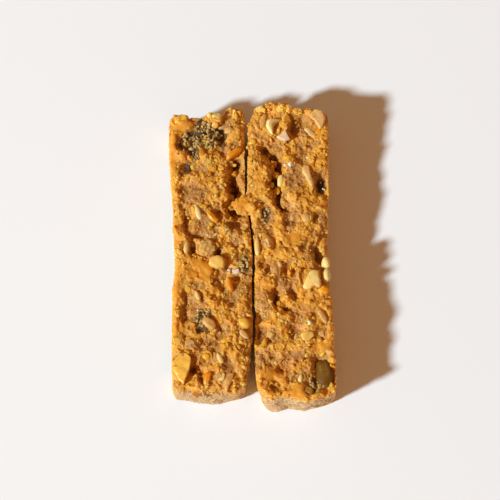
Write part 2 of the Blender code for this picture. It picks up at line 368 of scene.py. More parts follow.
@dataclass(frozen=True)
class Chunk:
    """The shape of one kind of crumb, nut or seed, from a ball of radius 1.

    rounds are the ball's subdivisions and power its bluntness, 2 for round and more for blocky.
    cuts counts the flat breaks, which start at the share cut_from of the radius. ripple is how
    uneven it is, grain the size of that unevenness, taper how much narrower its +Y end is, bend
    how far its ends curve aside and keel how much its middle is raised to a ridge.
    """

    rounds: int = 4
    power: float = 2.4
    cuts: int = 0
    cut_from: float = 0.6
    ripple: float = 0.08
    grain: float = 0.8
    taper: float = 0.0
    bend: float = 0.0
    keel: float = 0.0

    def part(self, draw: Draw) -> Part:
        """Model one chunk of this kind.

        Args:
            draw: The random draw.

        Returns:
            The places and triangles of a chunk about 1 in radius.
        """
        places, faces = ball(self.rounds)
        places /= (np.abs(places) ** self.power).sum(axis=1, keepdims=True) ** (1.0 / self.power)
        swell = noise_at(places, self.grain, float(draw.uniform(0, 50)))
        places *= 1.0 + 2.0 * self.ripple * swell[:, None]
        for _ in range(self.cuts):
            normal = draw.normal(size=3)
            normal /= np.linalg.norm(normal)
            over = places @ normal - draw.uniform(self.cut_from, self.cut_from + 0.3)
            places -= np.clip(over, 0.0, None)[:, None] * normal
        places[:, 0] *= 1.0 - self.taper * places[:, 1]
        places[:, 2] *= 1.0 - 0.5 * self.taper * places[:, 1]
        places[:, 2] += self.keel * np.clip(1.0 - np.abs(places[:, 0]), 0.0, 1.0) * (places[:, 2] > 0)
        places[:, 0] += self.bend * (places[:, 1] ** 2 - 0.4)
        return places, faces


# ---------------- the frame's solids


def solid_copy(node: str) -> tuple[Mesh, BVHTree]:
    """Return a merged copy of a CAD node's mesh, and a tree to cast rays on it.

    Args:
        node: The CAD node's name.

    Returns:
        The merged copy and its tree.
    """
    shape = bmesh.new()
    shape.from_mesh(bpy.data.objects[node].data)
    bmesh.ops.remove_doubles(shape, verts=shape.verts, dist=1e-7)
    bmesh.ops.triangulate(shape, faces=shape.faces)
    tree = BVHTree.FromBMesh(shape)
    mesh = bpy.data.meshes.new(node + "_core")
    shape.to_mesh(mesh)
    shape.free()
    return mesh, tree


class Walls:
    """Where one half's walls stand: x of both sides along y, and y of both ends along x.

    They are read between low_z and high_z, at stations that keep a margin from the corners, as
    the outermost place within a window.
    """

    low_z = 8.5 * MM
    high_z = 12.5 * MM
    window = 1.9 * MM
    margin = 1.5 * MM
    side_stations = 60
    end_stations = 14

    def __init__(self, mesh: Mesh) -> None:
        """Measure the walls of a solid.

        Args:
            mesh: A merged copy of the solid's mesh.
        """
        places = vertex_array(mesh)
        walls = places[(places[:, 2] > self.low_z) & (places[:, 2] < self.high_z)]
        low, high = places[:, 1].min() + self.margin, places[:, 1].max() - self.margin
        self.along = np.linspace(low, high, self.side_stations)
        self.west = np.array([self.extreme(walls, 1, y, 0, -1) for y in self.along])
        self.east = np.array([self.extreme(walls, 1, y, 0, 1) for y in self.along])
        middle = (self.west.mean() + self.east.mean()) / 2.0
        reach = (self.east.mean() - self.west.mean()) / 2.0 - self.margin
        self.across = np.linspace(middle - reach, middle + reach, self.end_stations)
        self.south = np.array([self.extreme(walls, 0, x, 1, -1) for x in self.across])
        self.north = np.array([self.extreme(walls, 0, x, 1, 1) for x in self.across])

    def extreme(self, walls: Array, axis: int, at: float, other: int, sign: int) -> float:
        """Return the walls' highest (sign 1) or lowest (-1) place along other, at a station on axis."""
        near = walls[np.abs(walls[:, axis] - at) < self.window, other]
        return float(sign * (sign * near).max())

    def side_gaps(self, places: Array) -> tuple[Array, Array]:
        """Return how far places lie inside the left and the right wall, in metres.

        Args:
            places: Rows of x, y and perhaps z in metres.

        Returns:
            The distance from the left wall and from the right wall.
        """
        west = places[:, 0] - np.interp(places[:, 1], self.along, self.west)
        east = np.interp(places[:, 1], self.along, self.east) - places[:, 0]
        return west, east

    def end_gap(self, places: Array) -> Array:
        """Return how far places lie inside the nearer end wall, in metres.

        Args:
            places: Rows of x, y and perhaps z in metres.

        Returns:
            The distance of each place, below 0 outside the walls.
        """
        south = places[:, 1] - np.interp(places[:, 0], self.across, self.south)
        north = np.interp(places[:, 0], self.across, self.north) - places[:, 1]
        return np.minimum(south, north)

    def inside(self, places: Array) -> Array:
        """Return how far places lie inside the nearest wall, in metres, below 0 outside."""
        west, east = self.side_gaps(places)
        return np.minimum(np.minimum(west, east), self.end_gap(places))


class HeightMap:
    """The height of a torn face over a fine grid, and its average over a wider patch."""

    cell = 0.3 * MM
    floor = 6.0 * MM

    def __init__(self, places: Array, reach: float) -> None:
        """Grid the highest places.

        Args:
            places: Rows of x, y and z in metres.
            reach: Half the width of the patch that the average is taken over, in metres.
        """
        self.corner = places[:, :2].min(axis=0)
        size = tuple(((places[:, :2].max(axis=0) - self.corner) / self.cell).astype(int) + 1)
        heights = np.zeros(size)
        rows, columns = self.cells(places)
        np.maximum.at(heights, (rows, columns), places[:, 2])
        known = (heights > self.floor).astype(float)
        steps = max(int(reach / self.cell), 1)
        total, weight = heights * known, known
        for _ in range(2):
            total, weight = self.blurred(total, steps), self.blurred(weight, steps)
        self.average = total / np.maximum(weight, 1e-6)

    def cells(self, places: Array) -> tuple[Array, Array]:
        """Return the row and the column of the grid's cell under each place."""
        cells = ((places[:, :2] - self.corner) / self.cell).astype(int)
        return cells[:, 0], cells[:, 1]

    @staticmethod
    def blurred(grid: Array, steps: int) -> Array:
        """Return a grid averaged over a square patch.

        Args:
            grid: The grid.
            steps: Half the patch's width in cells.

        Returns:
            The averaged grid.
        """
        width = 2 * steps + 1
        for axis in (0, 1):
            padding = [(0, 0), (0, 0)]
            padding[axis] = (steps + 1, steps)
            sums = np.pad(grid, padding, mode="edge").cumsum(axis=axis)
            upper = np.take(sums, range(width, sums.shape[axis]), axis=axis)
            lower = np.take(sums, range(sums.shape[axis] - width), axis=axis)
            grid = (upper - lower) / width
        return grid

    def above(self, places: Array) -> Array:
        """Return how far places stand above the average around them, in metres."""
        rows, columns = self.cells(places)
        return places[:, 2] - self.average[rows, columns]


# ---------------- the dough


@dataclass(frozen=True)
class CrumbSize:
    """One size of crumb on the torn face, in millimetres.

    radius is the smallest and largest radius, spacing the mean distance between crumbs, and sink
    how deep a crumb's middle lies under the face, as a share of its radius.
    """

    radius: Span
    spacing: float
    sink: float


@dataclass(frozen=True)
class Clods:
    """Packed clods of one size, each a little higher or lower than the next.

    size, groove and step are in millimetres: how wide the clods are, how deep the grooves between
    them, and how much their heights differ. width is the grooves' width and ragged how uneven
    their edges are, as shares of the size. seed gives another pattern.
    """

    size: float
    groove: float
    step: float
    width: float = 0.2
    ragged: float = 0.4
    seed: float = 3.0

    # A sine of a clod's middle, times a large number, gives each clod a tone of its own.
    tone_waves = np.array([12.99, 78.23, 37.72])
    tone_spread = 4375.9

    def at(self, places: Array) -> tuple[Array, Array]:
        """Return the clods' relief and their tones.

        Args:
            places: Rows of x, y and z in metres.

        Returns:
            The lift in millimetres, and a tone from 0 to 1 that is the same all over a clod.
        """
        waver = [noise_at(places, 0.45 * self.size * MM, self.seed + shift)
                 for shift in (1.0, 9.0, 23.0)]
        rows = places / (self.size * MM) + self.ragged * np.column_stack(waver) + self.seed
        found = [noise.voronoi(row) for row in rows.tolist()]
        gap = np.array([reach[1] - reach[0] for reach, _ in found])
        middles = np.array([tuple(points[0]) for _, points in found])
        tone = np.modf(np.abs(np.sin(middles @ self.tone_waves) * self.tone_spread))[0]
        groove = 1.0 - smooth_step(0.0, self.width, gap)
        return (tone - 0.5) * self.step - groove * self.groove, tone


@dataclass(frozen=True)
class TornFace:
    """Where one half's torn face differs from place to place.

    crust lists the golden clumps, which stand out; breaks the brown hollows of bare crumb;
    smears the smooth spots; berry the purple fruit; ash the grey-green crumb; ruddy the
    reddish hollows; blush the pinkish crumb; pits the deep clefts, which get painted shade.
    """

    crust: Ovals
    breaks: Ovals
    smears: Ovals
    berry: Ovals
    ash: Ovals
    ruddy: Ovals
    blush: Ovals
    shaded_pits: Ovals


@dataclass
class TornHalf:
    """One half of the bar: its dough, from the frame's solid and a cover of torn crumbs.

    Sizes are in millimetres. node is its solid, other the solid beside it, and skin_band the
    width of the smooth band along its outer rim.
    """

    node: str
    other: str
    side: Side
    face: TornFace
    seed: int
    skin_band: float
    # Crumbs over the torn face are stretched copies of some blanks. They keep apart from what is
    # pressed in, and off what is below lowest or where the face's normal rises under steepest.
    crumb_sizes: tuple[CrumbSize, ...] = (
        CrumbSize((1.3, 2.4), 2.8, 1.05), CrumbSize((0.8, 1.4), 2.0, 0.95),
        CrumbSize((0.4, 0.7), 1.4, 0.6))
    crumb: Chunk = Chunk(rounds=3, power=2.8, cuts=7, cut_from=0.45, ripple=0.1)
    blanks: int = 12
    stretch: tuple[Triple, Triple] = ((0.9, 0.7, 0.6), (1.3, 1.05, 0.9))
    apart: float = 0.65
    lowest: float = 4.0
    steepest: float = 0.05
    # The solid is let down under them, a skin of small cells is drawn over all, and a share of
    # the plain walls' faces is taken out.
    settle: float = 0.6
    voxel: float = 0.25
    thinning: float = 0.92
    # Relief: swell is all over, crags, specks and clods are on the torn face, and grain is on the
    # rim from rim_foot up and on the ends.
    swell: Wave = Wave(0.1, 3.0)
    crags: Wave = Wave(0.08, 1.7, 7.0)
    specks: Wave = Wave(0.03, 0.5)
    clods: tuple[Clods, ...] = (Clods(3.3, 0.28, 0.35, 0.12, 0.35), Clods(1.7, 0.06, 0.12, seed=11.0))
    grain: Waves = (Wave(0.25, 1.0), Wave(0.1, 0.5, 6.0))
    rim_foot: float = 11.5
    # Golden clumps: their pattern, how strongly the face's ovals change it, the level over which
    # a clump starts, and how high clumps stand, in steps at ledge_levels.
    crust_waves: Waves = (Wave(0.7, 4.6, 21.0), Wave(0.45, 2.2, 33.0))
    crust_specks: Waves = (Wave(0.28, 1.1, 5.0), Wave(0.06, 0.5, 15.0))
    crust_pull: float = 0.75
    smear_pull: float = 0.6
    break_pull: float = 0.9
    crust_level: float = 0.08
    crust_rise: float = 0.65
    ledge_levels: tuple[float, ...] = (-0.2, 0.2)
    # How far crumbs may stand out of the outer wall, how wide the crack is, how far the dough may
    # bulge into a wider one, and the flap of the right half that reaches over it.
    wall_slack: float = 0.2
    crack_gap: float = 0.55
    crack_slack: float = 0.2
    flap: Oval = Oval(-2.5, 13.7, 4.5, 5.0)
    flap_foot: float = 13.2
    # Where the torn face starts, inside the walls and in height, and where the rough ends stop.
    inner_edge: Span = (0.5, 1.1)
    top_edge: Span = (13.2, 14.4)
    base_edge: Span = (3.0, 4.0)
    end_edge: Span = (0.5, 1.3)
    # How far under the average of a wide patch the dough must lie for painted shade in hollows
    # and deep clefts, and under a close patch for painted shade in fine crevices.
    wide_patch: float = 3.0
    hollow_shade_depth: Span = (0.9, 2.8)
    pit_shade_depth: Span = (0.2, 1.4)
    close_patch: float = 0.6
    crevice_shade_depth: Span = (0.05, 0.7)

    def __post_init__(self) -> None:
        """Read the frame's solids and measure their walls."""
        self.draw = np.random.default_rng(self.seed)
        self.core, self.surface = solid_copy(self.node)
        beside, self.beside = solid_copy(self.other)
        self.walls = Walls(self.core)
        self.walls_beside = Walls(beside)
        self.low, self.high = (np.array(corner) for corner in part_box(self.node))

    def outer_gap(self, places: Array) -> Array:
        """Return how far places lie inside the smooth outer wall, in metres."""
        west, east = self.walls.side_gaps(places)
        return west if self.side is Side.LEFT else east

    def drop(self, x: float, y: float) -> Hit | None:
        """Return the point and normal of the torn face under (x, y).

        Args:
            x: Metres along X.
            y: Metres along Y.

        Returns:
            The point and its normal, or None where there is no torn face that the sky sees.
        """
        above = Vector((x, y, SKY))
        point, normal, _, _ = self.surface.ray_cast(above, DOWN)
        if point is None or point.z < self.lowest * MM or normal.z < self.steepest:
            return None
        covered, _, _, _ = self.beside.ray_cast(above, DOWN)
        if covered is not None and covered.z > point.z:
            return None
        return point, normal

    def crust_field(self, places: Array) -> Array:
        """Return how far each place is into the clumps of golden crust.

        Args:
            places: Rows of x, y and z in metres.

        Returns:
            Above 0 on the clumps and below 0 between them, with a ragged border.
        """
        flat = flat_places(places)
        value = waves_at(flat, self.crust_waves)
        value += waves_at(flat, self.crust_specks)
        raised = self.crust_pull * soft_zone(flat, self.face.crust)
        value += raised + self.smear_pull * soft_zone(flat, self.face.smears)
        return value - self.break_pull * soft_zone(flat, self.face.breaks) - self.crust_level

    def ledges(self, places: Array) -> Array:
        """Return how high each place lies on the ragged ledges of crust.

        Args:
            places: Rows of x, y and z in metres.

        Returns:
            The height for each place, from 0 to 1.
        """
        crust = self.crust_field(places)
        steps = [smooth_step(level - 0.06, level + 0.06, crust) for level in self.ledge_levels]
        return sum(steps) / len(steps)

    def crumb_parts(self, keep_clear: Ovals) -> list[Part]:
        """Lay crumbs of every size over the torn face.

        Args:
            keep_clear: The spots that stay free of crumbs, for what is pressed into the dough.

        Returns:
            The places and triangles of each crumb.
        """
        blanks = [self.crumb.part(self.draw) for _ in range(self.blanks)]
        extent = self.high - self.low
        parts = []
        for size in self.crumb_sizes:
            count = int(extent[0] * extent[1] / (size.spacing * MM) ** 2)
            spots = self.low[:2] + self.draw.random((count, 2)) * extent[:2]
            skipped = self.outer_gap(spots) < (0.2 + 0.35 * size.radius[1]) * MM
            smear = zone(flat_places(spots), self.face.smears)
            skipped |= smear > self.draw.uniform(0.2, 0.5, count)
            for oval in keep_clear:
                skipped |= oval.reach(spots) < self.apart
            for spot, skip in zip(spots, skipped):
                radius = self.draw.uniform(*size.radius) * MM
                turn = random_turn(self.draw)
                stretch = self.draw.uniform(*self.stretch)
                blank = blanks[self.draw.integers(len(blanks))]
                sink = size.sink + self.draw.uniform(-0.2, 0.2)
                found = None if skip else self.drop(*spot)
                if found is None:
                    continue
                point, normal = found
                middle = np.array(point) - np.array(normal) * radius * sink * (0.4 + 0.6 * normal.z)
                middle[2] -= self.settle * MM * 0.7
                parts.append(((blank[0] * stretch * radius) @ turn.T + middle, blank[1]))
        return parts

    def settled_core(self) -> Part:
        """Let down the solid's torn face, to make room for the crumbs.

        Returns:
            The solid's places and triangles.
        """
        places = vertex_array(self.core)
        up = smooth_step(0.2, 0.6, vertex_array(self.core, "normal")[:, 2])
        places[:, 2] -= up * self.settle * MM
        return places, face_array(self.core)

    def build(self, name: str, keep_clear: Ovals) -> Piece:
        """Build the half's dough.

        Args:
            name: The piece's name.
            keep_clear: The spots that stay free of crumbs.

        Returns:
            The finished, painted dough.
        """
        crumbs = self.crumb_parts(keep_clear)
        parts = [self.settled_core()] + crumbs
        dough = add_object(name, joined_mesh(name, parts))
        remesh = dough.modifiers.new("skin", "REMESH")
        remesh.mode = "VOXEL"
        remesh.voxel_size = self.voxel * MM
        apply_modifiers(dough)
        self.thin_walls(dough)
        self.roughen(dough, keep_clear)
        self.paint(dough)
        make_active(dough)
        bpy.ops.object.shade_smooth()
        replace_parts(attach(dough, BODY), self.node)
        LOG.info("%s: %d crumbs, %d faces", name, len(crumbs), len(dough.data.polygons))
        return dough

    def torn_mask(self, places: Array) -> Array:
        """Return 1 on the torn face and 0 on the walls and the base.

        Args:
            places: Rows of x, y and z in metres.

        Returns:
            The mask's value for each place.
        """
        inside = self.walls.inside(places)
        ragged = 0.5 * MM * noise_at(places, 2.4 * MM, 2.0)
        deep_in = fade(self.inner_edge, inside + ragged)
        near_top = fade(self.top_edge, places[:, 2] + 2.0 * ragged)
        above_base = fade(self.base_edge, places[:, 2])
        band = fade((self.skin_band * 0.5, self.skin_band), self.outer_gap(places) + ragged)
        return np.maximum(deep_in, near_top) * above_base * band

    def end_mask(self, places: Array) -> Array:
        """Return 1 on the rough front and back ends and 0 elsewhere."""
        return 1.0 - fade(self.end_edge, self.walls.end_gap(places))

    def thin_walls(self, dough: Piece) -> None:
        """Thin out the mesh of the smooth walls and the base, which need few faces.

        Args:
            dough: The remeshed dough.
        """
        places = vertex_array(dough.data)
        torn = self.torn_mask(places)
        rough_end = (self.end_mask(places) > 0.5) & (places[:, 2] > 0.4 * MM)
        rough_end |= (places[:, 2] > self.rim_foot * MM) & (self.outer_gap(places) < 1.0 * MM)
        group = dough.vertex_groups.new(name="plain")
        plain = np.nonzero((torn < 0.02) & ~rough_end)[0]
        group.add(plain.tolist(), 1.0, "REPLACE")
        thin = dough.modifiers.new("thin", "DECIMATE")
        thin.ratio = 1.0 - self.thinning * len(plain) / len(torn)
        thin.vertex_group = group.name
        thin.use_collapse_triangulate = True
        apply_modifiers(dough)
        dough.vertex_groups.clear()

    def roughen(self, dough: Piece, keep_clear: Ovals) -> None:
        """Raise the clumps of crust, cut the finest crags, and keep the crack open.

        Args:
            dough: The remeshed dough.
            keep_clear: The spots that stay as they are, under what is pressed into the dough.
        """
        places = vertex_array(dough.data)
        normals = vertex_array(dough.data, "normal")
        torn = self.torn_mask(places)
        for oval in keep_clear:
            torn *= smooth_step(0.8, 1.1, oval.reach(places))
        crust = self.ledges(places)
        smooth = zone(places, self.face.smears)
        ridges = ridge_at(places, self.crags.size * MM, self.crags.seed)
        lift = self.crags.strength * ridges + waves_at(places, (self.specks,))
        tone = np.zeros(len(places))
        packing = np.zeros(len(places))
        for clods in self.clods:
            relief, shade = clods.at(places)
            packing += relief
            tone += shade / len(self.clods)
        store(dough.data, "tone", tone)
        lift = (lift + packing) * (1.0 - 0.95 * smooth)
        lift = lift * torn + waves_at(places, (self.swell,))
        rim = fade((self.rim_foot, self.rim_foot + 2.0), places[:, 2])
        grain = waves_at(places, self.grain)
        lift += self.end_mask(places) * (0.7 * packing + grain) * (1.0 - torn)
        lift += rim * (0.9 * packing + grain) * (1.0 - torn)
        places += normals * (lift * MM)[:, None]
        facing_up = smooth_step(-0.2, 0.3, normals[:, 2])
        places[:, 2] += (crust - 0.5) * self.crust_rise * torn * facing_up * MM
        places[:, 2] = np.maximum(places[:, 2], 0.0)
        self.open_crack(places)
        self.press_wall(places)
        set_vertices(dough.data, places)
        soften = dough.modifiers.new("soften", "SMOOTH")
        soften.iterations = 1
        apply_modifiers(dough)

    def open_crack(self, places: Array) -> None:
        """Push back what stands in the crack between the halves.

        Args:
            places: The dough's vertex places, which are changed.
        """
        own, beside = self.walls, self.walls_beside
        left, right = (own, beside) if self.side is Side.LEFT else (beside, own)
        east = np.interp(places[:, 1], left.along, left.east)
        west = np.interp(places[:, 1], right.along, right.west)
        middle = (east + west) / 2.0
        if self.side is Side.LEFT:
            limit = np.minimum(middle - self.crack_gap / 2.0 * MM, east + self.crack_slack * MM)
            places[:, 0] = np.minimum(places[:, 0], limit)
            return
        limit = np.maximum(middle + self.crack_gap / 2.0 * MM, west - self.crack_slack * MM)
        on_flap = (self.flap.reach(places) < 1.0) & (places[:, 2] > self.flap_foot * MM)
        places[:, 0] = np.where(on_flap, places[:, 0], np.maximum(places[:, 0], limit))

    def press_wall(self, places: Array) -> None:
        """Press back the places that stand out of the smooth outer wall."""
        out = np.maximum(-self.wall_slack * MM - self.outer_gap(places), 0.0)
        places[:, 0] += out if self.side is Side.LEFT else -out

    def paint(self, dough: Piece) -> None:
        """Store what the dough's material varies by.

        Args:
            dough: The finished dough.
        """
        mesh = dough.data
        places = vertex_array(mesh)
        relief = HeightMap(places, self.wide_patch * MM).above(places)
        crevices = HeightMap(places, self.close_patch * MM).above(places)
        store(mesh, "torn", self.torn_mask(places))
        store(mesh, "crust", smooth_step(-0.45, 0.3, self.crust_field(places)))
        store(mesh, "smear", zone(places, self.face.smears))
        # Painted shade: the dough darkens in hollows, by how far it lies under the wide patch around
        # it.
        store(mesh, "hollow", fade(self.hollow_shade_depth, -relief))
        # Painted shade: fine crevices darken by how far the dough lies under the close patch around it.
        store(mesh, "crevice", fade(self.crevice_shade_depth, -crevices))
        store(mesh, "end", self.end_mask(places))
        store(mesh, "berry", zone(places, self.face.berry))
        store(mesh, "ash", zone(places, self.face.ash))
        store(mesh, "ruddy", soft_zone(places, self.face.ruddy))
        store(mesh, "blush", soft_zone(places, self.face.blush))
        # Painted shade: the deep clefts in the listed ovals darken where the dough lies under the wide
        # patch around it.
        store(mesh, "pit", zone(places, self.face.shaded_pits, 0.5) * fade(self.pit_shade_depth, -relief))


# ---------------- what is pressed in


@dataclass(frozen=True)
class Bit:
    """One seed or scrap in the torn face, in millimetres, its long axis turned from +Y to -X.

    proud is how far its top stands over the dough.
    """

    x: float
    y: float
    half_width: float
    half_length: float
    half_height: float
    turn: float = 0.0
    proud: float = 0.35

    @property
    def oval(self) -> Oval:
        """The spot that it covers."""
        return Oval(self.x, self.y, self.half_width, self.half_length, self.turn)


@dataclass(frozen=True)
class Slab:
    """A broken nut or flake, in millimetres: its outline from above and its thickness.

    proud is how far its top stands over the dough, edge how rounded it is, dome how much its
    middle is raised, lean how much its +X side is lifted, and follow how closely it lies along
    the slope of the face, from 0 to 1. cell is its remeshed skin's cell.
    """

    outline: tuple[tuple[float, float], ...]
    thickness: float = 2.2
    proud: float = 0.4
    edge: float = 0.5
    dome: float = 0.25
    lean: float = 0.0
    follow: float = 0.3
    cell: float = 0.17

    @property
    def oval(self) -> Oval:
        """The spot that it covers.

        Returns:
            The oval that just fits its outline.
        """
        spots = np.array(self.outline)
        middle = (spots.max(axis=0) + spots.min(axis=0)) / 2.0
        half = (spots.max(axis=0) - spots.min(axis=0)) / 2.0
        return Oval(*middle, *half)

    def part(self, draw: Draw) -> Part:
        """Model the slab around its own middle, with its highest face at z = 0, in metres.

        Args:
            draw: The random draw.

        Returns:
            Its places and triangles.
        """
        deselect_all()
        bpy.ops.mesh.primitive_circle_add(vertices=len(self.outline), radius=MM, fill_type="NGON")
        slab = bpy.context.object
        for vertex, (x, y) in zip(slab.data.vertices, self.outline):
            vertex.co = ((x - self.oval.x) * MM, (y - self.oval.y) * MM, 0.0)
        bpy.ops.object.mode_set(mode="EDIT")
        bpy.ops.mesh.select_all(action="SELECT")
        down = {"value": (0.0, 0.0, -self.thickness * MM)}
        bpy.ops.mesh.extrude_region_move(TRANSFORM_OT_translate=down)
        bpy.ops.mesh.select_all(action="SELECT")
        bpy.ops.mesh.normals_make_consistent(inside=False)
        bpy.ops.object.mode_set(mode="OBJECT")
        bevel = slab.modifiers.new("edge", "BEVEL")
        bevel.width = self.edge * MM
        bevel.segments = 3
        bevel.limit_method = "ANGLE"
        remesh = slab.modifiers.new("skin", "REMESH")
        remesh.mode = "VOXEL"
        remesh.voxel_size = self.cell * MM
        soften = slab.modifiers.new("soften", "SMOOTH")
        soften.iterations = 8
        slab.modifiers.new("triangles", "TRIANGULATE")
        apply_modifiers(slab)
        places, faces = taken_part(slab)
        seed = float(draw.uniform(0, 50))
        uneven = waves_at(places, (Wave(0.25, 2.4, seed), Wave(0.03, 0.9, seed)))
        reach = Oval(0.0, 0.0, self.oval.half_width, self.oval.half_length).reach(places)
        top = smooth_step(-self.thickness * MM, 0.0, places[:, 2])
        rise = self.dome * (1.0 - reach ** 2) + self.lean * places[:, 0] / MM
        places[:, 2] += (uneven + rise) * top * MM
        places[:, :2] *= 1.0 + waves_at(places, (Wave(0.05, 1.6, seed + 3.0),))[:, None]
        return places, faces


class Bed:
    """The torn face that things are pressed into, seen from above.

    Where it is missing or below lowest, its height is taken to be usual. Its slope is read over a
    share of what lies on it, and is never steeper than steepest, as a rise over a run.
    """

    usual = 14.6 * MM
    lowest = 6.0 * MM
    share = 0.8
    steepest = 0.35

    def __init__(self, trees: list[BVHTree], lowered: float = 0.0) -> None:
        """Keep the surfaces, and how far under them things are laid, in metres."""
        self.trees = trees
        self.lowered = lowered

    def hit(self, x: float, y: float) -> Hit | None:
        """Return the highest point and its normal under (x, y).

        Args:
            x: Metres along X.
            y: Metres along Y.

        Returns:
            The point and normal, or None off the bar.
        """
        found = [tree.ray_cast(Vector((x, y, SKY)), DOWN)[:2] for tree in self.trees]
        found = [(point, normal) for point, normal in found if point is not None]
        return max(found, key=lambda pair: pair[0].z) if found else None

    def height(self, x: float, y: float) -> float:
        """Return the height under (x, y), or the usual one off the bar, in metres."""
        found = self.hit(x, y)
        return (found[0].z if found and found[0].z > self.lowest else self.usual) - self.lowered

    def slope(self, oval: Oval) -> tuple[float, float]:
        """Return how the face falls across and along an oval, as a rise over a run.

        Args:
            oval: The spot.

        Returns:
            The slope across the oval and the slope along it.
        """
        angle = math.radians(oval.turn)
        slopes = []
        for (dx, dy), half in (((math.cos(angle), math.sin(angle)), oval.half_width),
                               ((-math.sin(angle), math.cos(angle)), oval.half_length)):
            step = self.share * half
            ahead = self.height((oval.x + dx * step) * MM, (oval.y + dy * step) * MM)
            behind = self.height((oval.x - dx * step) * MM, (oval.y - dy * step) * MM)
            slope = (ahead - behind) / (2.0 * step * MM)
            slopes.append(float(np.clip(slope, -self.steepest, self.steepest)))
        return slopes[0], slopes[1]

    def laid(self, places: Array, oval: Oval, follow: float, top: float) -> Array:
        """Lay a part in its spot.

        Args:
            places: The part's places around its own middle, in metres.
            oval: The spot that it covers, and its turn.
            follow: How closely it lies along the slope of the face, from 0 to 1.
            top: How far its middle stands over the face, in millimetres.

        Returns:
            The part's places in the bar.
        """
        across, along = self.slope(oval)
        angle = math.radians(oval.turn)
        x, y, z = places.T
        z = z + (x * across + y * along) * follow
        turned = np.column_stack((x * math.cos(angle) - y * math.sin(angle),
                                  x * math.sin(angle) + y * math.cos(angle), z))
        height = self.height(oval.x * MM, oval.y * MM) + top * MM
        return turned + np.array([oval.x * MM, oval.y * MM, height])


def dressed_piece(name: str, parts: list[Part], tones: list[float], finish: Finish,
                  sharp: float = 0.0) -> Piece:
    """Join the parts of one kind into one finished piece, which rides on the bar.

    Args:
        name: The piece's name.
        parts: The places and triangles of each part.
        tones: How dark or light each part is, from 0 to 1.
        finish: The piece's finish.
        sharp: The angle in degrees past which an edge stays sharp, or 0 for flat faces.

    Returns:
        The finished piece.
    """
    piece = add_object(name, joined_mesh(name, parts))
    store(piece.data, "tone", np.repeat(tones, [len(places) for places, _ in parts]))
    piece.data.materials.append(finish.material())
    if sharp:
        make_active(piece)
        bpy.ops.object.shade_smooth_by_angle(angle=math.radians(sharp))
    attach(piece, BODY)
    LOG.info("%s: %d pieces, %d faces", name, len(parts), len(piece.data.polygons))
    return piece


@dataclass
class Topping:
    """One kind of thing in the dough: its pieces, its finish and how many more lie about.

    Sizes are in millimetres. chunk is the shape of its bits, and slabs are cut to their own
    outlines. more is how many small ones, of the shape more_chunk, are strewn over both halves.
    They keep inset from the walls and apart, a share of its size, from what is larger.
    more_radius is their smallest and largest radius and more_proud how far their tops stand over
    the dough. follow is how closely bits lie along the slope of the face, tones how dark and how
    light a piece may be, both from 0 to 1, and sharp the angle in degrees past which its edges
    stay sharp.
    """

    name: str
    finish: Finish
    chunk: Chunk
    bits: tuple[Bit, ...] = ()
    slabs: tuple[Slab, ...] = ()
    more: int = 0
    more_radius: Span = (0.5, 1.0)
    more_proud: Span = (0.1, 0.5)
    more_chunk: Chunk = Chunk(rounds=2, power=2.8, cuts=4, cut_from=0.5, ripple=0.12)
    tones: Span = (0.25, 1.0)
    sharp: float = 35.0
    inset: float = 0.5
    apart: float = 1.15
    follow: float = 0.6
    seed: int = 1

    @property
    def ovals(self) -> Ovals:
        """The spots that its named pieces cover."""
        return tuple(piece.oval for piece in self.bits + self.slabs)

    def laid_bit(self, bit: Bit, chunk: Chunk, bed: Bed, draw: Draw) -> Part:
        """Model one bit in its place.

        Args:
            bit: Its place and size.
            chunk: Its shape.
            bed: The face that it lies in.
            draw: The random draw.

        Returns:
            Its places and triangles.
        """
        places, faces = chunk.part(draw)
        places = places * np.array([bit.half_width, bit.half_length, bit.half_height]) * MM
        return bed.laid(places, bit.oval, self.follow, bit.proud - bit.half_height), faces

    @staticmethod
    def laid_slab(slab: Slab, bed: Bed, draw: Draw) -> Part:
        """Model one slab in its place in the face."""
        places, faces = slab.part(draw)
        return bed.laid(places, slab.oval, slab.follow, slab.proud), faces

    def strewn(self, halves: list[TornHalf], taken: Ovals, draw: Draw) -> list[Bit]:
        """Return small bits at random spots of both torn faces.

        Args:
            halves: The halves that they lie on.
            taken: The spots that are already covered.
            draw: The random draw.

        Returns:
            The bits.
        """
        bits = []
        while len(bits) < self.more:
            half = halves[int(draw.integers(2))]
            spot = half.low[:2] + draw.random(2) * (half.high - half.low)[:2]
            rows = spot[None, :]
            radius = float(draw.uniform(*self.more_radius))
            clear = half.walls.inside(rows)[0] > (self.inset + radius) * MM
            clear = clear and half.outer_gap(rows)[0] > (half.skin_band + self.inset) * MM
            clear = clear and all(oval.reach(rows)[0] > self.apart for oval in taken)
            if clear and half.drop(*spot) is not None:
                x, y = (float(value) / MM for value in spot)
                bits.append(Bit(x, y, radius * draw.uniform(0.7, 1.0), radius * draw.uniform(1.0, 1.5),
                                radius * draw.uniform(0.6, 0.9), draw.uniform(0.0, 180.0),
                                draw.uniform(*self.more_proud)))
        return bits

    def build(self, bed: Bed, halves: list[TornHalf], taken: Ovals) -> Piece:
        """Build all of this kind as one mesh.

        Args:
            bed: The face that they lie in.
            halves: The halves of the bar.
            taken: The spots that small ones keep off.

        Returns:
            The finished piece.
        """
        draw = np.random.default_rng(self.seed)
        parts = [self.laid_bit(bit, self.chunk, bed, draw) for bit in self.bits]
        parts += [self.laid_slab(slab, bed, draw) for slab in self.slabs]
        for bit in self.strewn(halves, taken, draw):
            parts.append(self.laid_bit(bit, self.more_chunk, bed, draw))
        tones = [draw.uniform(*self.tones) for _ in parts]
        return dressed_piece(self.name, parts, tones, self.finish, self.sharp)


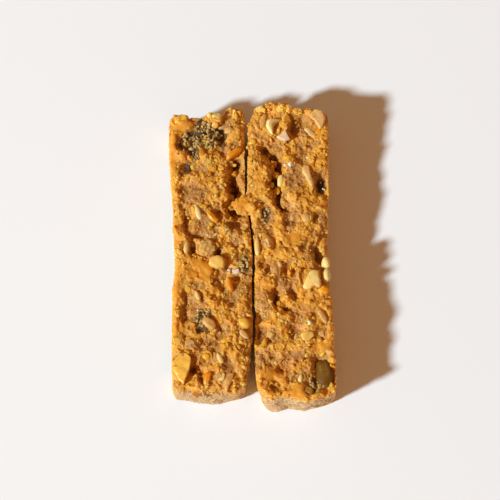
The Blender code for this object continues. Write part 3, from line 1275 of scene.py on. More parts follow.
@dataclass
class FineCrumbs:
    """Loose crumbs of one kind, which catch the light on the torn faces.

    count is how many are tried on each half, radius their smallest and largest radius in
    millimetres, in_breaks the share that lies on bare crumb and not on the golden clumps, and
    proud how far their middles stand over the dough, as a share of their height. only, when
    there is any, is the ovals they keep to. Each is a stretched copy of one of the blanks, which
    have the shape chunk. They keep rim_inset from the outer rim, inset from any wall and apart, a
    share of its size, from what is larger, and none lies lower than lowest.
    """

    name: str
    finish: Finish
    count: int
    radius: Span
    in_breaks: float = 0.5
    proud: Span = (0.1, 0.6)
    only: Ovals = ()
    chunk: Chunk = Chunk(rounds=1, power=2.0, ripple=0.2)
    stretch: tuple[Triple, Triple] = ((0.8, 0.6, 0.5), (1.4, 1.0, 0.9))
    blanks: int = 8
    rim_inset: float = 0.2
    inset: float = 0.15
    apart: float = 0.95
    lowest: float = 8.0
    seed: int = 5

    def spots(self, half: TornHalf, draw: Draw) -> Array:
        """Return random spots on one half.

        Args:
            half: The half.
            draw: The random draw.

        Returns:
            Rows of x and y in metres.
        """
        spots = half.low[:2] + draw.random((self.count, 2)) * (half.high - half.low)[:2]
        on_crust = half.crust_field(spots) > 0.0
        keep = draw.random(self.count) < np.where(on_crust, 1.0 - self.in_breaks, self.in_breaks)
        keep &= half.outer_gap(spots) > (half.skin_band + self.rim_inset) * MM
        keep &= half.walls.inside(spots) > self.inset * MM
        keep &= zone(flat_places(spots), half.face.smears) < 0.3
        if self.only:
            keep &= zone(flat_places(spots), self.only) > 0.5
        return spots[keep]

    def build(self, halves: list[TornHalf], bed: Bed, taken: Ovals) -> Piece:
        """Build all the crumbs as one mesh.

        Args:
            halves: The halves of the bar.
            bed: The finished dough that they lie on.
            taken: The spots of larger things, which stay bare.

        Returns:
            The finished piece.
        """
        draw = np.random.default_rng(self.seed)
        blanks = [self.chunk.part(draw) for _ in range(self.blanks)]
        parts, tones = [], []
        for spot in np.concatenate([self.spots(half, draw) for half in halves]):
            found = bed.hit(*spot)
            covered = any(oval.reach(spot[None, :])[0] < self.apart for oval in taken)
            if covered or found is None or found[0].z < self.lowest * MM:
                continue
            places, faces = blanks[draw.integers(len(blanks))]
            size = draw.uniform(*self.radius) * draw.uniform(*self.stretch) * MM
            middle = np.array(found[0]) + np.array(found[1]) * size[2] * draw.uniform(*self.proud)
            parts.append(((places * size) @ random_turn(draw).T + middle, faces))
            tones.append(draw.random())
        return dressed_piece(self.name, parts, tones, self.finish)


@dataclass
class WallBits:
    """Nuts or seeds pressed level into the outer walls and the back ends.

    Sizes are in millimetres. count is how many each half has, radius their smallest and largest
    long half, and slender and flat their width and their depth, as shares of it. proud is how far
    they stand out, heights where on the walls they lie, within where along the half, as shares of
    its length, and at_back the share of them in the back end. Rays that look for the wall start
    at the distance far.
    """

    name: str
    finish: Finish
    count: int
    radius: Span
    chunk: Chunk = Chunk(rounds=3, power=3.2, cuts=3, cut_from=0.6, ripple=0.06)
    slender: float = 0.75
    flat: float = 0.5
    proud: Span = (0.05, 0.25)
    heights: Span = (2.0, 11.5)
    within: Span = (0.04, 0.96)
    at_back: float = 0.2
    sharp: float = 35.0
    far: float = 150.0
    seed: int = 1

    def spot(self, half: TornHalf, tree: BVHTree, draw: Draw) -> Hit:
        """Return a point on the half's wall and the way out of it.

        Args:
            half: The half.
            tree: Its finished surface.
            draw: The random draw.

        Returns:
            The point and the normal.
        """
        point = None
        while point is None:
            x, y = half.low[:2] + draw.uniform(*self.within, 2) * (half.high - half.low)[:2]
            outward = Vector((half.side.value, 0.0, 0.0))
            if draw.random() < self.at_back:
                outward = Vector((0.0, 1.0, 0.0))
            start = Vector((x, y, draw.uniform(*self.heights) * MM)) + outward * self.far * MM
            point, normal, _, _ = tree.ray_cast(start, -outward)
        return point, normal if normal.dot(outward) > 0.99 else outward

    def build(self, halves: list[TornHalf], trees: list[BVHTree]) -> Piece:
        """Build them all as one mesh.

        Args:
            halves: The halves of the bar.
            trees: Their finished surfaces.

        Returns:
            The finished piece.
        """
        draw = np.random.default_rng(self.seed)
        parts = []
        for half, tree in zip(halves, trees):
            for _ in range(self.count):
                point, normal = self.spot(half, tree, draw)
                long = draw.uniform(*self.radius)
                size = np.array([long * self.slender, long, long * self.flat]) * MM
                places, faces = self.chunk.part(draw)
                turn = Quaternion((0.0, 0.0, 1.0), draw.uniform(0.0, math.pi))
                turn = Vector((0.0, 0.0, 1.0)).rotation_difference(normal) @ turn
                middle = np.array(point) - np.array(normal) * (size[2] - draw.uniform(*self.proud) * MM)
                parts.append(((places * size) @ np.array(turn.to_matrix()).T + middle, faces))
        tones = [draw.random() for _ in parts]
        return dressed_piece(self.name, parts, tones, self.finish, self.sharp)


# ---------------- materials


def new_material(name: str) -> tuple[Material, Tree, Node]:
    """Return a material with an empty Principled shader.

    Args:
        name: The material's name.

    Returns:
        The material, its node tree and its Principled shader.
    """
    material = bpy.data.materials.new(name)
    material.use_nodes = True
    tree = material.node_tree
    return material, tree, tree.nodes["Principled BSDF"]


def add_node(tree: Tree, kind: str, **settings: object) -> Node:
    """Add a node and set its properties and its inputs.

    Args:
        tree: The node tree.
        kind: The node's type.
        **settings: Properties of the node, or values for inputs of these names.

    Returns:
        The new node.
    """
    node = tree.nodes.new(kind)
    for key, value in settings.items():
        if hasattr(node, key):
            setattr(node, key, value)
        else:
            node.inputs[key.replace("_", " ")].default_value = value
    return node


def attribute(tree: Tree, name: str) -> Socket:
    """Return the socket of a mesh attribute's value."""
    return add_node(tree, "ShaderNodeAttribute", attribute_name=name).outputs["Fac"]


def scaled(tree: Tree, value: Socket, share: float) -> Socket:
    """Return a value times a share.

    Args:
        tree: The node tree.
        value: The value.
        share: What it is multiplied by.

    Returns:
        The product.
    """
    node = add_node(tree, "ShaderNodeMath", operation="MULTIPLY")
    tree.links.new(value, node.inputs[0])
    node.inputs[1].default_value = share
    return node.outputs[0]


def blended(tree: Tree, under: Socket, over: Color | Socket,
            mask: Socket, blend: str = "MIX") -> Socket:
    """Lay one color over another where a mask says so.

    Args:
        tree: The node tree.
        under: The color below.
        over: The color or socket above.
        mask: How much of it shows, from 0 to 1.
        blend: How it is mixed.

    Returns:
        The mixed color.
    """
    node = add_node(tree, "ShaderNodeMix", data_type="RGBA", blend_type=blend)
    tree.links.new(mask, node.inputs["Factor"])
    tree.links.new(under, node.inputs[6])
    if isinstance(over, tuple):
        node.inputs[7].default_value = (*over, 1.0)
    else:
        tree.links.new(over, node.inputs[7])
    return node.outputs[2]


def set_inputs(node: Node, values: dict[str, object]) -> None:
    """Set a node's inputs by their names."""
    for name, value in values.items():
        node.inputs[name].default_value = value


def add_relief(tree: Tree, shader: Node, height: Socket,
               depth: float) -> None:
    """Give a shader the fine relief of a pattern.

    Args:
        tree: The node tree.
        shader: The Principled shader.
        height: The pattern's height.
        depth: How deep the relief is at most, in millimetres.
    """
    bump = add_node(tree, "ShaderNodeBump", Strength=1.0, Distance=depth * MM)
    tree.links.new(height, bump.inputs["Height"])
    tree.links.new(bump.outputs["Normal"], shader.inputs["Normal"])


@dataclass(frozen=True)
class Mottling:
    """Three colors (linear) that are mottled, and the pattern's waves per metre."""

    dark: Color
    middle: Color
    light: Color
    scale: float


class Mottle:
    """A shader group that mottles three colors and gives a fine relief.

    Noise of a broad and a finer size makes the grain, and the grain and the piece's tone the
    value that goes from the dark color over the middle one to the light one.
    """

    name = "mottle"
    colors = ("Dark", "Middle", "Light")
    finer_by = 5.0
    broad_share = 0.72
    fine_share = 0.28
    grain_share = 0.75
    tone_share = 0.42
    steps = (("Middle", 0.34, 0.56), ("Light", 0.62, 0.86))

    def group(self) -> Tree:
        """Return the group, built at its first use."""
        found = bpy.data.node_groups.get(self.name)
        return found if found else self.built()

    def built(self) -> Tree:
        """Build the group.

        Returns:
            The group's node tree.
        """
        tree = bpy.data.node_groups.new(self.name, "ShaderNodeTree")
        sockets = tree.interface
        sockets.new_socket("Vector", in_out="INPUT", socket_type="NodeSocketVector")
        for color in self.colors:
            sockets.new_socket(color, in_out="INPUT", socket_type="NodeSocketColor")
        for value in ("Tone", "Scale"):
            sockets.new_socket(value, in_out="INPUT", socket_type="NodeSocketFloat")
        sockets.new_socket("Color", in_out="OUTPUT", socket_type="NodeSocketColor")
        sockets.new_socket("Height", in_out="OUTPUT", socket_type="NodeSocketFloat")
        link = tree.links.new
        given = tree.nodes.new("NodeGroupInput").outputs
        result = tree.nodes.new("NodeGroupOutput").inputs
        broad = add_node(tree, "ShaderNodeTexNoise", Detail=2.0, Roughness=0.55)
        fine = add_node(tree, "ShaderNodeTexNoise", Detail=3.0, Roughness=0.65)
        link(given["Scale"], broad.inputs["Scale"])
        link(scaled(tree, given["Scale"], self.finer_by), fine.inputs["Scale"])
        for texture in (broad, fine):
            link(given["Vector"], texture.inputs["Vector"])
        grain = self.summed(tree, (broad.outputs["Fac"], self.broad_share),
                            (fine.outputs["Fac"], self.fine_share))
        value = self.summed(tree, (grain, self.grain_share), (given["Tone"], self.tone_share))
        color = given["Dark"]
        for over, low, high in self.steps:
            step = add_node(tree, "ShaderNodeMapRange", interpolation_type="SMOOTHSTEP")
            set_inputs(step, {"From Min": low, "From Max": high})
            link(value, step.inputs["Value"])
            color = blended(tree, color, given[over], step.outputs["Result"])
        link(color, result["Color"])
        link(grain, result["Height"])
        return tree

    @staticmethod
    def summed(tree: Tree, first: Weighed, second: Weighed) -> Socket:
        """Return the sum of two weighed values.

        Args:
            tree: The node tree.
            first: The first value and its weight.
            second: The second value and its weight.

        Returns:
            The sum.
        """
        node = add_node(tree, "ShaderNodeMath", operation="MULTIPLY_ADD")
        tree.links.new(first[0], node.inputs[0])
        node.inputs[1].default_value = first[1]
        tree.links.new(scaled(tree, *second), node.inputs[2])
        return node.outputs[0]

    def place(self, tree: Tree, mottling: Mottling, tone: Socket) -> Node:
        """Place the group in a material.

        Args:
            tree: The material's node tree.
            mottling: Its colors and the size of its pattern.
            tone: A value that shifts all of a piece towards light or dark.

        Returns:
            The group node.
        """
        node = tree.nodes.new("ShaderNodeGroup")
        node.node_tree = self.group()
        node.inputs["Scale"].default_value = mottling.scale
        for name, color in zip(self.colors, (mottling.dark, mottling.middle, mottling.light)):
            node.inputs[name].default_value = (*color, 1.0)
        tree.links.new(tone, node.inputs["Tone"])
        place = add_node(tree, "ShaderNodeTexCoord").outputs["Object"]
        tree.links.new(place, node.inputs["Vector"])
        return node


@dataclass(frozen=True)
class Finish:
    """The finish of one kind of nut, seed or crumb; colors are linear, lengths in millimetres.

    scale is the mottling's waves per metre, scatter how much light goes through the surface and
    scatter_depth how far, bump how deep the fine relief is, coat a thin gloss over all, and
    shine how strongly the surface itself reflects.
    """

    name: str
    dark: Color
    middle: Color
    light: Color
    scale: float = 350.0
    roughness: float = 0.45
    scatter: float = 0.4
    scatter_depth: float = 0.8
    bump: float = 0.06
    coat: float = 0.0
    coat_roughness: float = 0.15
    shine: float = 0.4
    scatter_color: Color = (1.0, 0.5, 0.2)

    def material(self) -> Material:
        """Build the finish's material.

        Returns:
            The material.
        """
        material, tree, shader = new_material(self.name)
        tone = attribute(tree, "tone")
        mottling = Mottling(self.dark, self.middle, self.light, self.scale)
        mottle = Mottle().place(tree, mottling, tone)
        tree.links.new(mottle.outputs["Color"], shader.inputs["Base Color"])
        add_relief(tree, shader, mottle.outputs["Height"], self.bump)
        set_inputs(shader, {
            "Roughness": self.roughness, "Specular IOR Level": self.shine,
            "Coat Weight": self.coat, "Coat Roughness": self.coat_roughness,
            "Subsurface Weight": self.scatter, "Subsurface Radius": self.scatter_color,
            "Subsurface Scale": self.scatter_depth * MM})
        return material


@dataclass(frozen=True)
class Overlay:
    """A color (linear) over the dough where a stored mask says so, and how much of it shows."""

    mask: str
    color: Color
    share: float
    blend: str = "MIX"


@dataclass(frozen=True)
class DoughFinish:
    """Colors and surface of the nut butter dough; lengths are in millimetres.

    crust and crumb are the torn face's golden clumps and the bare crumb between them, side the
    smooth walls and ends the rough front and back. The overlays lie on the torn face, in order;
    the last three are painted shade, which darkens fine crevices, hollows and deep clefts.
    """

    crust: Mottling = Mottling((0.64, 0.27, 0.028), (0.77, 0.36, 0.045), (0.84, 0.465, 0.125), 380.0)
    crumb: Mottling = Mottling((0.42, 0.178, 0.03), (0.56, 0.262, 0.058), (0.69, 0.39, 0.13), 520.0)
    side: Mottling = Mottling((0.54, 0.215, 0.024), (0.74, 0.36, 0.055), (0.85, 0.54, 0.18), 620.0)
    ends: Mottling = Mottling((0.38, 0.19, 0.075), (0.57, 0.33, 0.145), (0.72, 0.46, 0.22), 900.0)
    overlays: tuple[Overlay, ...] = (
        Overlay("smear", (0.77, 0.33, 0.028), 0.85), Overlay("blush", (0.46, 0.20, 0.065), 0.5),
        Overlay("ruddy", (0.56, 0.19, 0.012), 0.65), Overlay("ash", (0.17, 0.095, 0.04), 0.85),
        Overlay("berry", (0.10, 0.045, 0.022), 0.9),
        # Painted shade: the last three overlays darken fine crevices, hollows and deep clefts.
        Overlay("crevice", (0.82, 0.62, 0.4), 0.28, "MULTIPLY"),
        Overlay("hollow", (0.23, 0.085, 0.014), 0.55), Overlay("pit", (0.10, 0.035, 0.012), 0.5))
    roughness: float = 0.55
    shine: float = 0.22
    scatter: float = 0.85
    scatter_color: Color = (1.0, 0.55, 0.2)
    scatter_depth: float = 1.9
    bump: float = 0.14

    def material(self) -> Material:
        """Build the dough's material.

        Returns:
            The material.
        """
        material, tree, shader = new_material("nut_butter_dough")
        tone = attribute(tree, "tone")
        crumb = Mottle().place(tree, self.crumb, tone)
        crust = Mottle().place(tree, self.crust, tone)
        color = blended(tree, crumb.outputs["Color"], crust.outputs["Color"], attribute(tree, "crust"))
        for over in self.overlays:
            mask = scaled(tree, attribute(tree, over.mask), over.share)
            color = blended(tree, color, over.color, mask, over.blend)
        side = Mottle().place(tree, self.side, tone)
        ends = Mottle().place(tree, self.ends, tone)
        walls = blended(tree, side.outputs["Color"], ends.outputs["Color"], attribute(tree, "end"))
        color = blended(tree, walls, color, attribute(tree, "torn"))
        tree.links.new(color, shader.inputs["Base Color"])
        add_relief(tree, shader, ends.outputs["Height"], self.bump)
        set_inputs(shader, {
            "Roughness": self.roughness, "Specular IOR Level": self.shine,
            "Subsurface Weight": self.scatter, "Subsurface Radius": self.scatter_color,
            "Subsurface Scale": self.scatter_depth * MM})
        return material


# ---------------- this bar's places


LEFT_FACE = TornFace(
    crust=(
        Oval(-22.2, 41.5, 2.3, 1.7), Oval(-3.8, 42.5, 1.8, 3.3), Oval(-11.3, 42.2, 2.7, 1.6),
        Oval(-5.2, 35.8, 2.5, 1.7), Oval(-14.1, 29.5, 2.0, 3.5, -35), Oval(-9.6, 25.4, 2.7, 1.7),
        Oval(-22.1, 28.8, 2.3, 2.4), Oval(-16.6, 21.5, 3.2, 2.1, 20), Oval(-9.9, 21.5, 2.7, 1.7),
        Oval(-9.5, 16.6, 3.0, 2.4), Oval(-23.0, 20.9, 1.5, 3.8), Oval(-22.2, 11.2, 1.7, 3.5),
        Oval(-22.2, 2.7, 1.5, 4.5), Oval(-7.8, 2.9, 2.0, 2.6), Oval(-6.8, 7.3, 2.3, 1.0, -20),
        Oval(-22.1, -5.3, 1.8, 4.5), Oval(-22.0, -13.6, 1.5, 4.9), Oval(-12.0, -14.8, 1.9, 4.3, 40),
        Oval(-2.4, -17.4, 1.5, 2.6), Oval(-8.1, -0.4, 1.7, 1.4), Oval(-1.1, 1.7, 1.3, 1.7),
        Oval(-21.9, -21.4, 1.5, 4.2), Oval(-21.8, -28.5, 1.5, 3.1), Oval(-8.0, -21.7, 2.7, 2.1),
        Oval(-4.0, -31.4, 2.1, 3.3), Oval(-3.4, -35.6, 2.3, 2.8), Oval(-8.0, -28.9, 2.0, 1.4),
        Oval(-17.4, -41.0, 2.5, 2.1), Oval(-13.2, -33.3, 1.5, 1.4), Oval(-3.7, -40.4, 2.0, 2.1),
        Oval(-9.3, -37.0, 2.0, 1.4), Oval(-15.2, 30.2, 1.0, 3.4, 28), Oval(-16.4, 43.2, 3.2, 1.3),
        Oval(-12.2, 34.2, 0.9, 2.2, 45), Oval(-16.8, -35.7, 1.7, 3.4), Oval(-3.2, 38.3, 1.2, 6.5),
        Oval(-8.5, 27.4, 1.0, 3.6, 32), Oval(-20.9, 4.8, 1.1, 3.0, 17), Oval(-5.7, 10.2, 2.1, 1.3),
        Oval(-18.5, 41.7, 1.5, 2.0), Oval(-7.4, -3.8, 1.3, 1.4), Oval(-5.8, -41.3, 1.6, 2.9),
        Oval(-13.0, 0.2, 3.2, 2.4)),
    breaks=(
        Oval(-7.2, 38.5, 2.0, 2.1), Oval(-16.0, 27.0, 2.0, 2.1), Oval(-20.7, 24.9, 1.0, 2.1, -20),
        Oval(-17.3, 17.4, 2.7, 3.1), Oval(-3.5, 22.4, 1.7, 4.9), Oval(-20.4, 33.8, 2.0, 2.4),
        Oval(-6.2, 32.0, 3.0, 1.4, 40), Oval(-13.7, 37.5, 4.0, 1.7), Oval(-13.8, 8.3, 2.3, 3.1),
        Oval(-15.8, 4.5, 2.0, 1.0), Oval(-19.2, 8.0, 1.2, 3.5), Oval(-5.5, 7.6, 2.3, 1.4),
        Oval(-9.4, -7.4, 2.0, 4.2, -20), Oval(-16.7, -11.6, 2.0, 1.6), Oval(-1.4, -5.3, 1.7, 4.5),
        Oval(-19.0, -16.0, 1.0, 3.8), Oval(-9.8, -1.1, 1.0, 1.4), Oval(-5.4, -17.1, 1.3, 2.1),
        Oval(-8.3, -26.0, 1.6, 3.4, -17), Oval(-11.6, -29.9, 2.7, 1.7),
        Oval(-6.7, -36.3, 2.0, 2.1), Oval(-17.5, -37.7, 2.0, 1.4), Oval(-1.4, -25.5, 1.7, 2.1),
        Oval(-14.6, -21.7, 3.0, 2.8), Oval(-15.2, -39.7, 0.8, 2.8), Oval(-17.4, -17.1, 2.4, 3.6, 30),
        Oval(-4.7, -14.3, 1.8, 2.2), Oval(-4.1, 2.5, 1.3, 2.3, 69), Oval(-17.6, 0.3, 0.8, 2.5)),
    smears=(
        Oval(-15.7, -6.7, 4.2, 4.0, -35), Oval(-22.8, 2.7, 0.9, 6.9), Oval(-22.5, -10.2, 0.9, 8.3),
        Oval(-23.9, 30.2, 0.9, 8.7), Oval(-22.7, -23.8, 0.9, 6.9), Oval(-21.4, 39.8, 2.8, 3.2)),
    berry=(
        Oval(-16.0, 36.6, 3.0, 1.3), Oval(-20.6, 33.6, 1.6, 2.2), Oval(-17.6, 31.2, 1.6, 2.4, 25),
        Oval(-9.3, 36.6, 2.0, 2.6), Oval(-12.8, 35.6, 1.8, 1.4), Oval(-15.6, 40.6, 1.2, 1.3),
        Oval(-19.2, 25.6, 1.1, 2.2), Oval(-15.3, -20.6, 1.5, 1.3), Oval(-15.0, -25.2, 2.0, 1.1, 20),
        Oval(-8.9, 33.4, 1.2, 1.6)),
    ash=(
        Oval(-16.4, 34.6, 3.6, 2.2, 15), Oval(-12.6, 34.4, 2.2, 2.8), Oval(-13.8, 38.6, 3.4, 1.5),
        Oval(-19.4, 36.2, 1.6, 1.6), Oval(-10.6, 37.0, 2.0, 1.6), Oval(-17.0, 29.8, 1.2, 1.6, 25),
        Oval(-15.0, -22.2, 2.3, 2.2), Oval(-2.2, -5.0, 1.4, 3.2), Oval(-13.8, -20.0, 2.0, 1.2)),
    ruddy=(
        Oval(-5.4, 19.5, 1.4, 4.0), Oval(-4.9, 26.8, 1.5, 2.4), Oval(-6.2, 12.9, 1.6, 1.6),
        Oval(-19.4, 7.6, 0.9, 4.0), Oval(-10.0, 11.0, 0.9, 1.1), Oval(-14.3, -39.6, 0.7, 2.5),
        Oval(-19.0, -6.9, 1.1, 3.0, -30), Oval(-7.6, -15.5, 0.8, 0.8)),
    blush=(
        Oval(-7.2, 38.5, 2.2, 2.2), Oval(-17.0, 17.6, 3.0, 3.4), Oval(-13.6, 8.0, 2.6, 3.0),
        Oval(-17.6, -31.6, 2.4, 3.4), Oval(-15.6, -35.0, 1.6, 2.0), Oval(-6.5, -36.5, 2.4, 2.2),
        Oval(-16.6, -11.8, 1.8, 1.5), Oval(-13.0, 0.2, 3.4, 2.6)),
    shaded_pits=(
        Oval(-5.2, 20.3, 1.1, 3.8, 8), Oval(-4.3, 27.6, 1.6, 2.5), Oval(-6.0, 12.6, 1.1, 1.4),
        Oval(-17.8, 0.5, 0.6, 2.3), Oval(-4.0, 7.4, 1.5, 0.8), Oval(-19.4, 7.6, 0.8, 3.0),
        Oval(-9.6, -1.0, 0.9, 1.2), Oval(-17.0, -37.6, 1.3, 1.0), Oval(-14.3, -39.4, 0.6, 2.2),
        Oval(-18.5, 14.0, 0.9, 3.4)),
)

RIGHT_FACE = TornFace(
    crust=(
        Oval(8.8, 45.3, 7.3, 1.4), Oval(3.7, 40.7, 1.7, 3.1, -10), Oval(1.3, 34.2, 2.0, 1.9),
        Oval(2.6, 27.0, 3.3, 2.1), Oval(3.5, 20.6, 2.3, 4.5, 10), Oval(20.3, 36.4, 2.7, 2.4),
        Oval(20.2, 28.8, 3.0, 3.1), Oval(14.9, 16.3, 3.7, 2.4), Oval(11.8, 31.3, 2.2, 2.0),
        Oval(21.5, 15.9, 1.7, 3.1), Oval(8.6, 6.6, 1.5, 4.5, -10), Oval(13.3, 2.7, 3.7, 2.8),
        Oval(1.9, 12.2, 2.0, 2.1), Oval(14.3, 7.3, 2.0, 1.7), Oval(21.3, 1.0, 1.7, 3.5),
        Oval(8.3, -1.8, 4.7, 1.7), Oval(2.6, -8.1, 1.3, 3.1, -10), Oval(5.1, -11.7, 2.2, 1.7),
        Oval(10.8, -16.4, 2.7, 1.7), Oval(17.1, -15.7, 4.0, 3.8), Oval(15.2, -6.7, 1.2, 2.4),
        Oval(10.6, -7.4, 1.7, 1.7), Oval(5.2, -22.7, 3.0, 1.7), Oval(9.4, -31.2, 5.0, 2.1),
        Oval(20.3, -30.2, 4.7, 2.4), Oval(24.0, -26.8, 1.3, 4.2), Oval(6.5, -20.7, 3.0, 1.7),
        Oval(13.6, -44.0, 4.0, 3.5), Oval(7.1, -39.3, 3.3, 2.4), Oval(4.2, -44.4, 2.0, 2.1),
        Oval(23.4, -43.7, 2.0, 2.1), Oval(14.3, -35.6, 4.0, 2.1), Oval(19.1, -22.7, 2.7, 2.1),
        Oval(2.2, -39.0, 1.3, 2.1), Oval(18.2, 15.6, 2.4, 6.0), Oval(18.9, 44.2, 4.0, 1.6),
        Oval(22.9, 32.4, 1.2, 5.5), Oval(5.5, 19.6, 1.3, 4.6, 20), Oval(7.2, -38.1, 1.4, 3.8, 65),
        Oval(9.6, -19.9, 1.3, 2.8, 63), Oval(19.0, -24.3, 2.0, 2.8), Oval(10.6, 39.5, 1.3, 3.4),
        Oval(14.7, -0.6, 1.2, 2.1), Oval(9.5, 6.9, 1.4, 3.0, 14), Oval(22.9, -20.5, 1.5, 2.5, 17),
        Oval(18.4, -38.5, 1.3, 3.4, 12), Oval(3.1, 28.2, 2.1, 3.0)),
    breaks=(
        Oval(15.4, 41.1, 2.5, 2.2), Oval(14.9, 37.8, 3.0, 1.7), Oval(15.5, 31.3, 1.7, 3.1),
        Oval(13.1, 22.0, 2.3, 3.5), Oval(5.0, 31.0, 3.0, 2.1, 30), Oval(7.3, 23.1, 2.0, 4.5),
        Oval(20.9, 22.0, 2.0, 3.5), Oval(8.7, 15.9, 2.0, 3.1), Oval(4.6, 10.4, 2.3, 2.8),
        Oval(12.0, 8.7, 2.0, 3.1), Oval(20.1, 10.4, 2.0, 2.1), Oval(5.2, -5.3, 2.7, 2.1),
        Oval(11.9, -6.4, 2.0, 1.7), Oval(9.9, -11.6, 2.3, 3.1), Oval(12.6, -14.7, 0.9, 1.7),
        Oval(19.6, -0.8, 1.3, 2.8), Oval(7.4, -14.0, 1.3, 2.6), Oval(15.9, 0.3, 2.0, 1.4),
        Oval(3.0, -17.4, 2.1, 5.6, 20), Oval(3.2, -25.8, 2.0, 2.4), Oval(12.8, -25.5, 2.0, 2.1),
        Oval(6.5, -26.5, 2.7, 2.1), Oval(2.2, -35.0, 1.3, 3.1), Oval(10.1, -36.3, 2.0, 1.4),
        Oval(17.3, -37.7, 2.3, 2.1), Oval(17.6, -42.4, 2.3, 2.1), Oval(5.2, -33.6, 2.7, 2.1),
        Oval(14.0, -33.3, 2.3, 1.7), Oval(12.4, -39.7, 1.7, 1.4), Oval(8.3, 30.9, 1.7, 3.4, 10),
        Oval(21.0, -33.7, 1.8, 3.0), Oval(2.2, 4.2, 1.1, 2.6), Oval(17.9, 33.3, 1.2, 3.2, -73)),
    smears=(
        Oval(12.6, 3.1, 2.7, 2.1), Oval(13.8, -44.4, 3.2, 2.8), Oval(6.5, -39.0, 3.0, 2.1),
        Oval(20.6, -30.2, 2.7, 1.6), Oval(5.1, -11.7, 1.8, 1.4), Oval(10.1, -26.3, 1.7, 1.6),
        Oval(20.0, 36.7, 1.7, 1.4), Oval(-2.8, 14.0, 2.6, 2.6)),
    berry=(
        Oval(21.4, 20.4, 1.4, 2.8, 10), Oval(17.6, -43.4, 1.7, 1.5), Oval(18.4, -40.8, 1.0, 1.4)),
    ash=(
        Oval(4.4, 10.6, 1.8, 2.4), Oval(19.6, -41.6, 1.6, 1.4)),
    ruddy=(
        Oval(9.2, -37.0, 1.8, 1.3), Oval(6.8, -42.5, 1.9, 2.2), Oval(11.5, -7.4, 2.4, 2.2),
        Oval(15.2, -7.6, 1.0, 2.6), Oval(4.5, -4.6, 2.0, 1.0), Oval(7.6, -15.2, 1.0, 3.0),
        Oval(6.8, 21.0, 1.4, 2.2), Oval(8.2, 25.4, 1.5, 2.8), Oval(10.5, -26.0, 1.5, 1.3),
        Oval(13.2, -25.4, 1.4, 1.8), Oval(2.8, -26.0, 1.6, 2.4)),
    blush=(
        Oval(14.9, 38.0, 3.2, 1.9), Oval(13.2, 21.6, 2.4, 3.6), Oval(20.8, -26.2, 2.2, 1.8),
        Oval(1.9, -34.6, 1.3, 3.4), Oval(10.0, -35.0, 2.6, 2.0), Oval(15.6, -20.0, 3.4, 2.4),
        Oval(11.6, -11.4, 2.4, 2.4), Oval(12.0, 9.0, 2.0, 2.4), Oval(13.5, -33.5, 3.4, 2.0)),
    shaded_pits=(
        Oval(6.5, 29.6, 1.5, 1.5), Oval(4.2, 31.3, 1.5, 1.2), Oval(8.0, 26.4, 1.4, 2.2),
        Oval(7.1, 21.6, 1.2, 2.5), Oval(8.5, 15.9, 0.9, 2.8), Oval(21.0, 3.4, 0.8, 2.7, -18),
        Oval(19.8, -1.6, 0.9, 2.9, 10), Oval(7.4, -15.2, 0.6, 2.3), Oval(2.8, -26.0, 1.7, 2.5),
        Oval(13.2, -25.4, 1.3, 1.7)),
)

YELLOW_NUT = Finish("yellow_nut", (0.74, 0.38, 0.055), (0.86, 0.52, 0.12), (0.93, 0.69, 0.28),
                    scale=200.0, roughness=0.42, scatter=0.6, scatter_depth=1.4, shine=0.28)
GOLDEN_NUT = Finish("golden_nut", (0.72, 0.29, 0.014), (0.82, 0.395, 0.032), (0.88, 0.50, 0.08),
                    scale=200.0, roughness=0.36, coat=0.1, scatter=0.6, scatter_depth=1.4)
GLOSSY_NUT = Finish("glossy_nut", (0.78, 0.34, 0.025), (0.92, 0.48, 0.06), (0.96, 0.62, 0.15),
                    scale=120.0, roughness=0.34, coat=0.15, scatter=0.5, scatter_depth=1.2)
BLANCHED_NUT = Finish("blanched_nut", (0.56, 0.26, 0.055), (0.71, 0.375, 0.10), (0.83, 0.52, 0.20),
                      scale=420.0, roughness=0.5, scatter=0.6, scatter_depth=1.2, bump=0.12)
SOFT_SEED = Finish("soft_seed", (0.72, 0.40, 0.09), (0.84, 0.54, 0.17), (0.91, 0.68, 0.32),
                   scale=380.0, roughness=0.45, scatter=0.6, scatter_depth=1.0)
TAN_NUT = Finish("tan_nut", (0.42, 0.20, 0.04), (0.64, 0.35, 0.09), (0.82, 0.56, 0.24),
                 scale=560.0, roughness=0.55, scatter=0.5, bump=0.14, shine=0.2)
PALE_SEED = Finish("pale_seed", (0.80, 0.48, 0.11), (0.92, 0.66, 0.24), (0.97, 0.82, 0.45),
                   scale=380.0, roughness=0.5, scatter=0.6, scatter_depth=1.0, shine=0.2)
ORANGE_FRUIT = Finish("orange_fruit", (0.58, 0.15, 0.002), (0.78, 0.27, 0.005), (0.90, 0.43, 0.03),
                      scale=420.0, roughness=0.38, coat=0.1, scatter_depth=1.0)
SUGAR = Finish("sugar_crystal", (0.62, 0.49, 0.37), (0.74, 0.63, 0.52), (0.84, 0.77, 0.68),
               scale=600.0, roughness=0.55, scatter_depth=0.8, shine=0.25)
DARK_BERRY = Finish("dark_berry", (0.05, 0.022, 0.012), (0.11, 0.058, 0.032), (0.24, 0.155, 0.09),
                    scale=620.0, roughness=0.85, scatter=0.0, bump=0.12, shine=0.05)
RAISIN = Finish("raisin", (0.04, 0.016, 0.002), (0.16, 0.06, 0.005), (0.31, 0.155, 0.022),
                scale=240.0, roughness=0.5, scatter=0.5, scatter_depth=1.5, bump=0.2, shine=0.12)
BROWN_FRUIT = Finish("brown_fruit", (0.28, 0.11, 0.012), (0.47, 0.22, 0.032), (0.60, 0.34, 0.075),
                     scale=400.0, roughness=0.5, scatter_depth=1.0)
DOUGH_CRUMB = Finish("dough_crumb", (0.60, 0.23, 0.018), (0.75, 0.35, 0.035), (0.82, 0.47, 0.10),
                     scale=420.0, roughness=0.55, scatter=0.8, scatter_depth=1.2, shine=0.2)
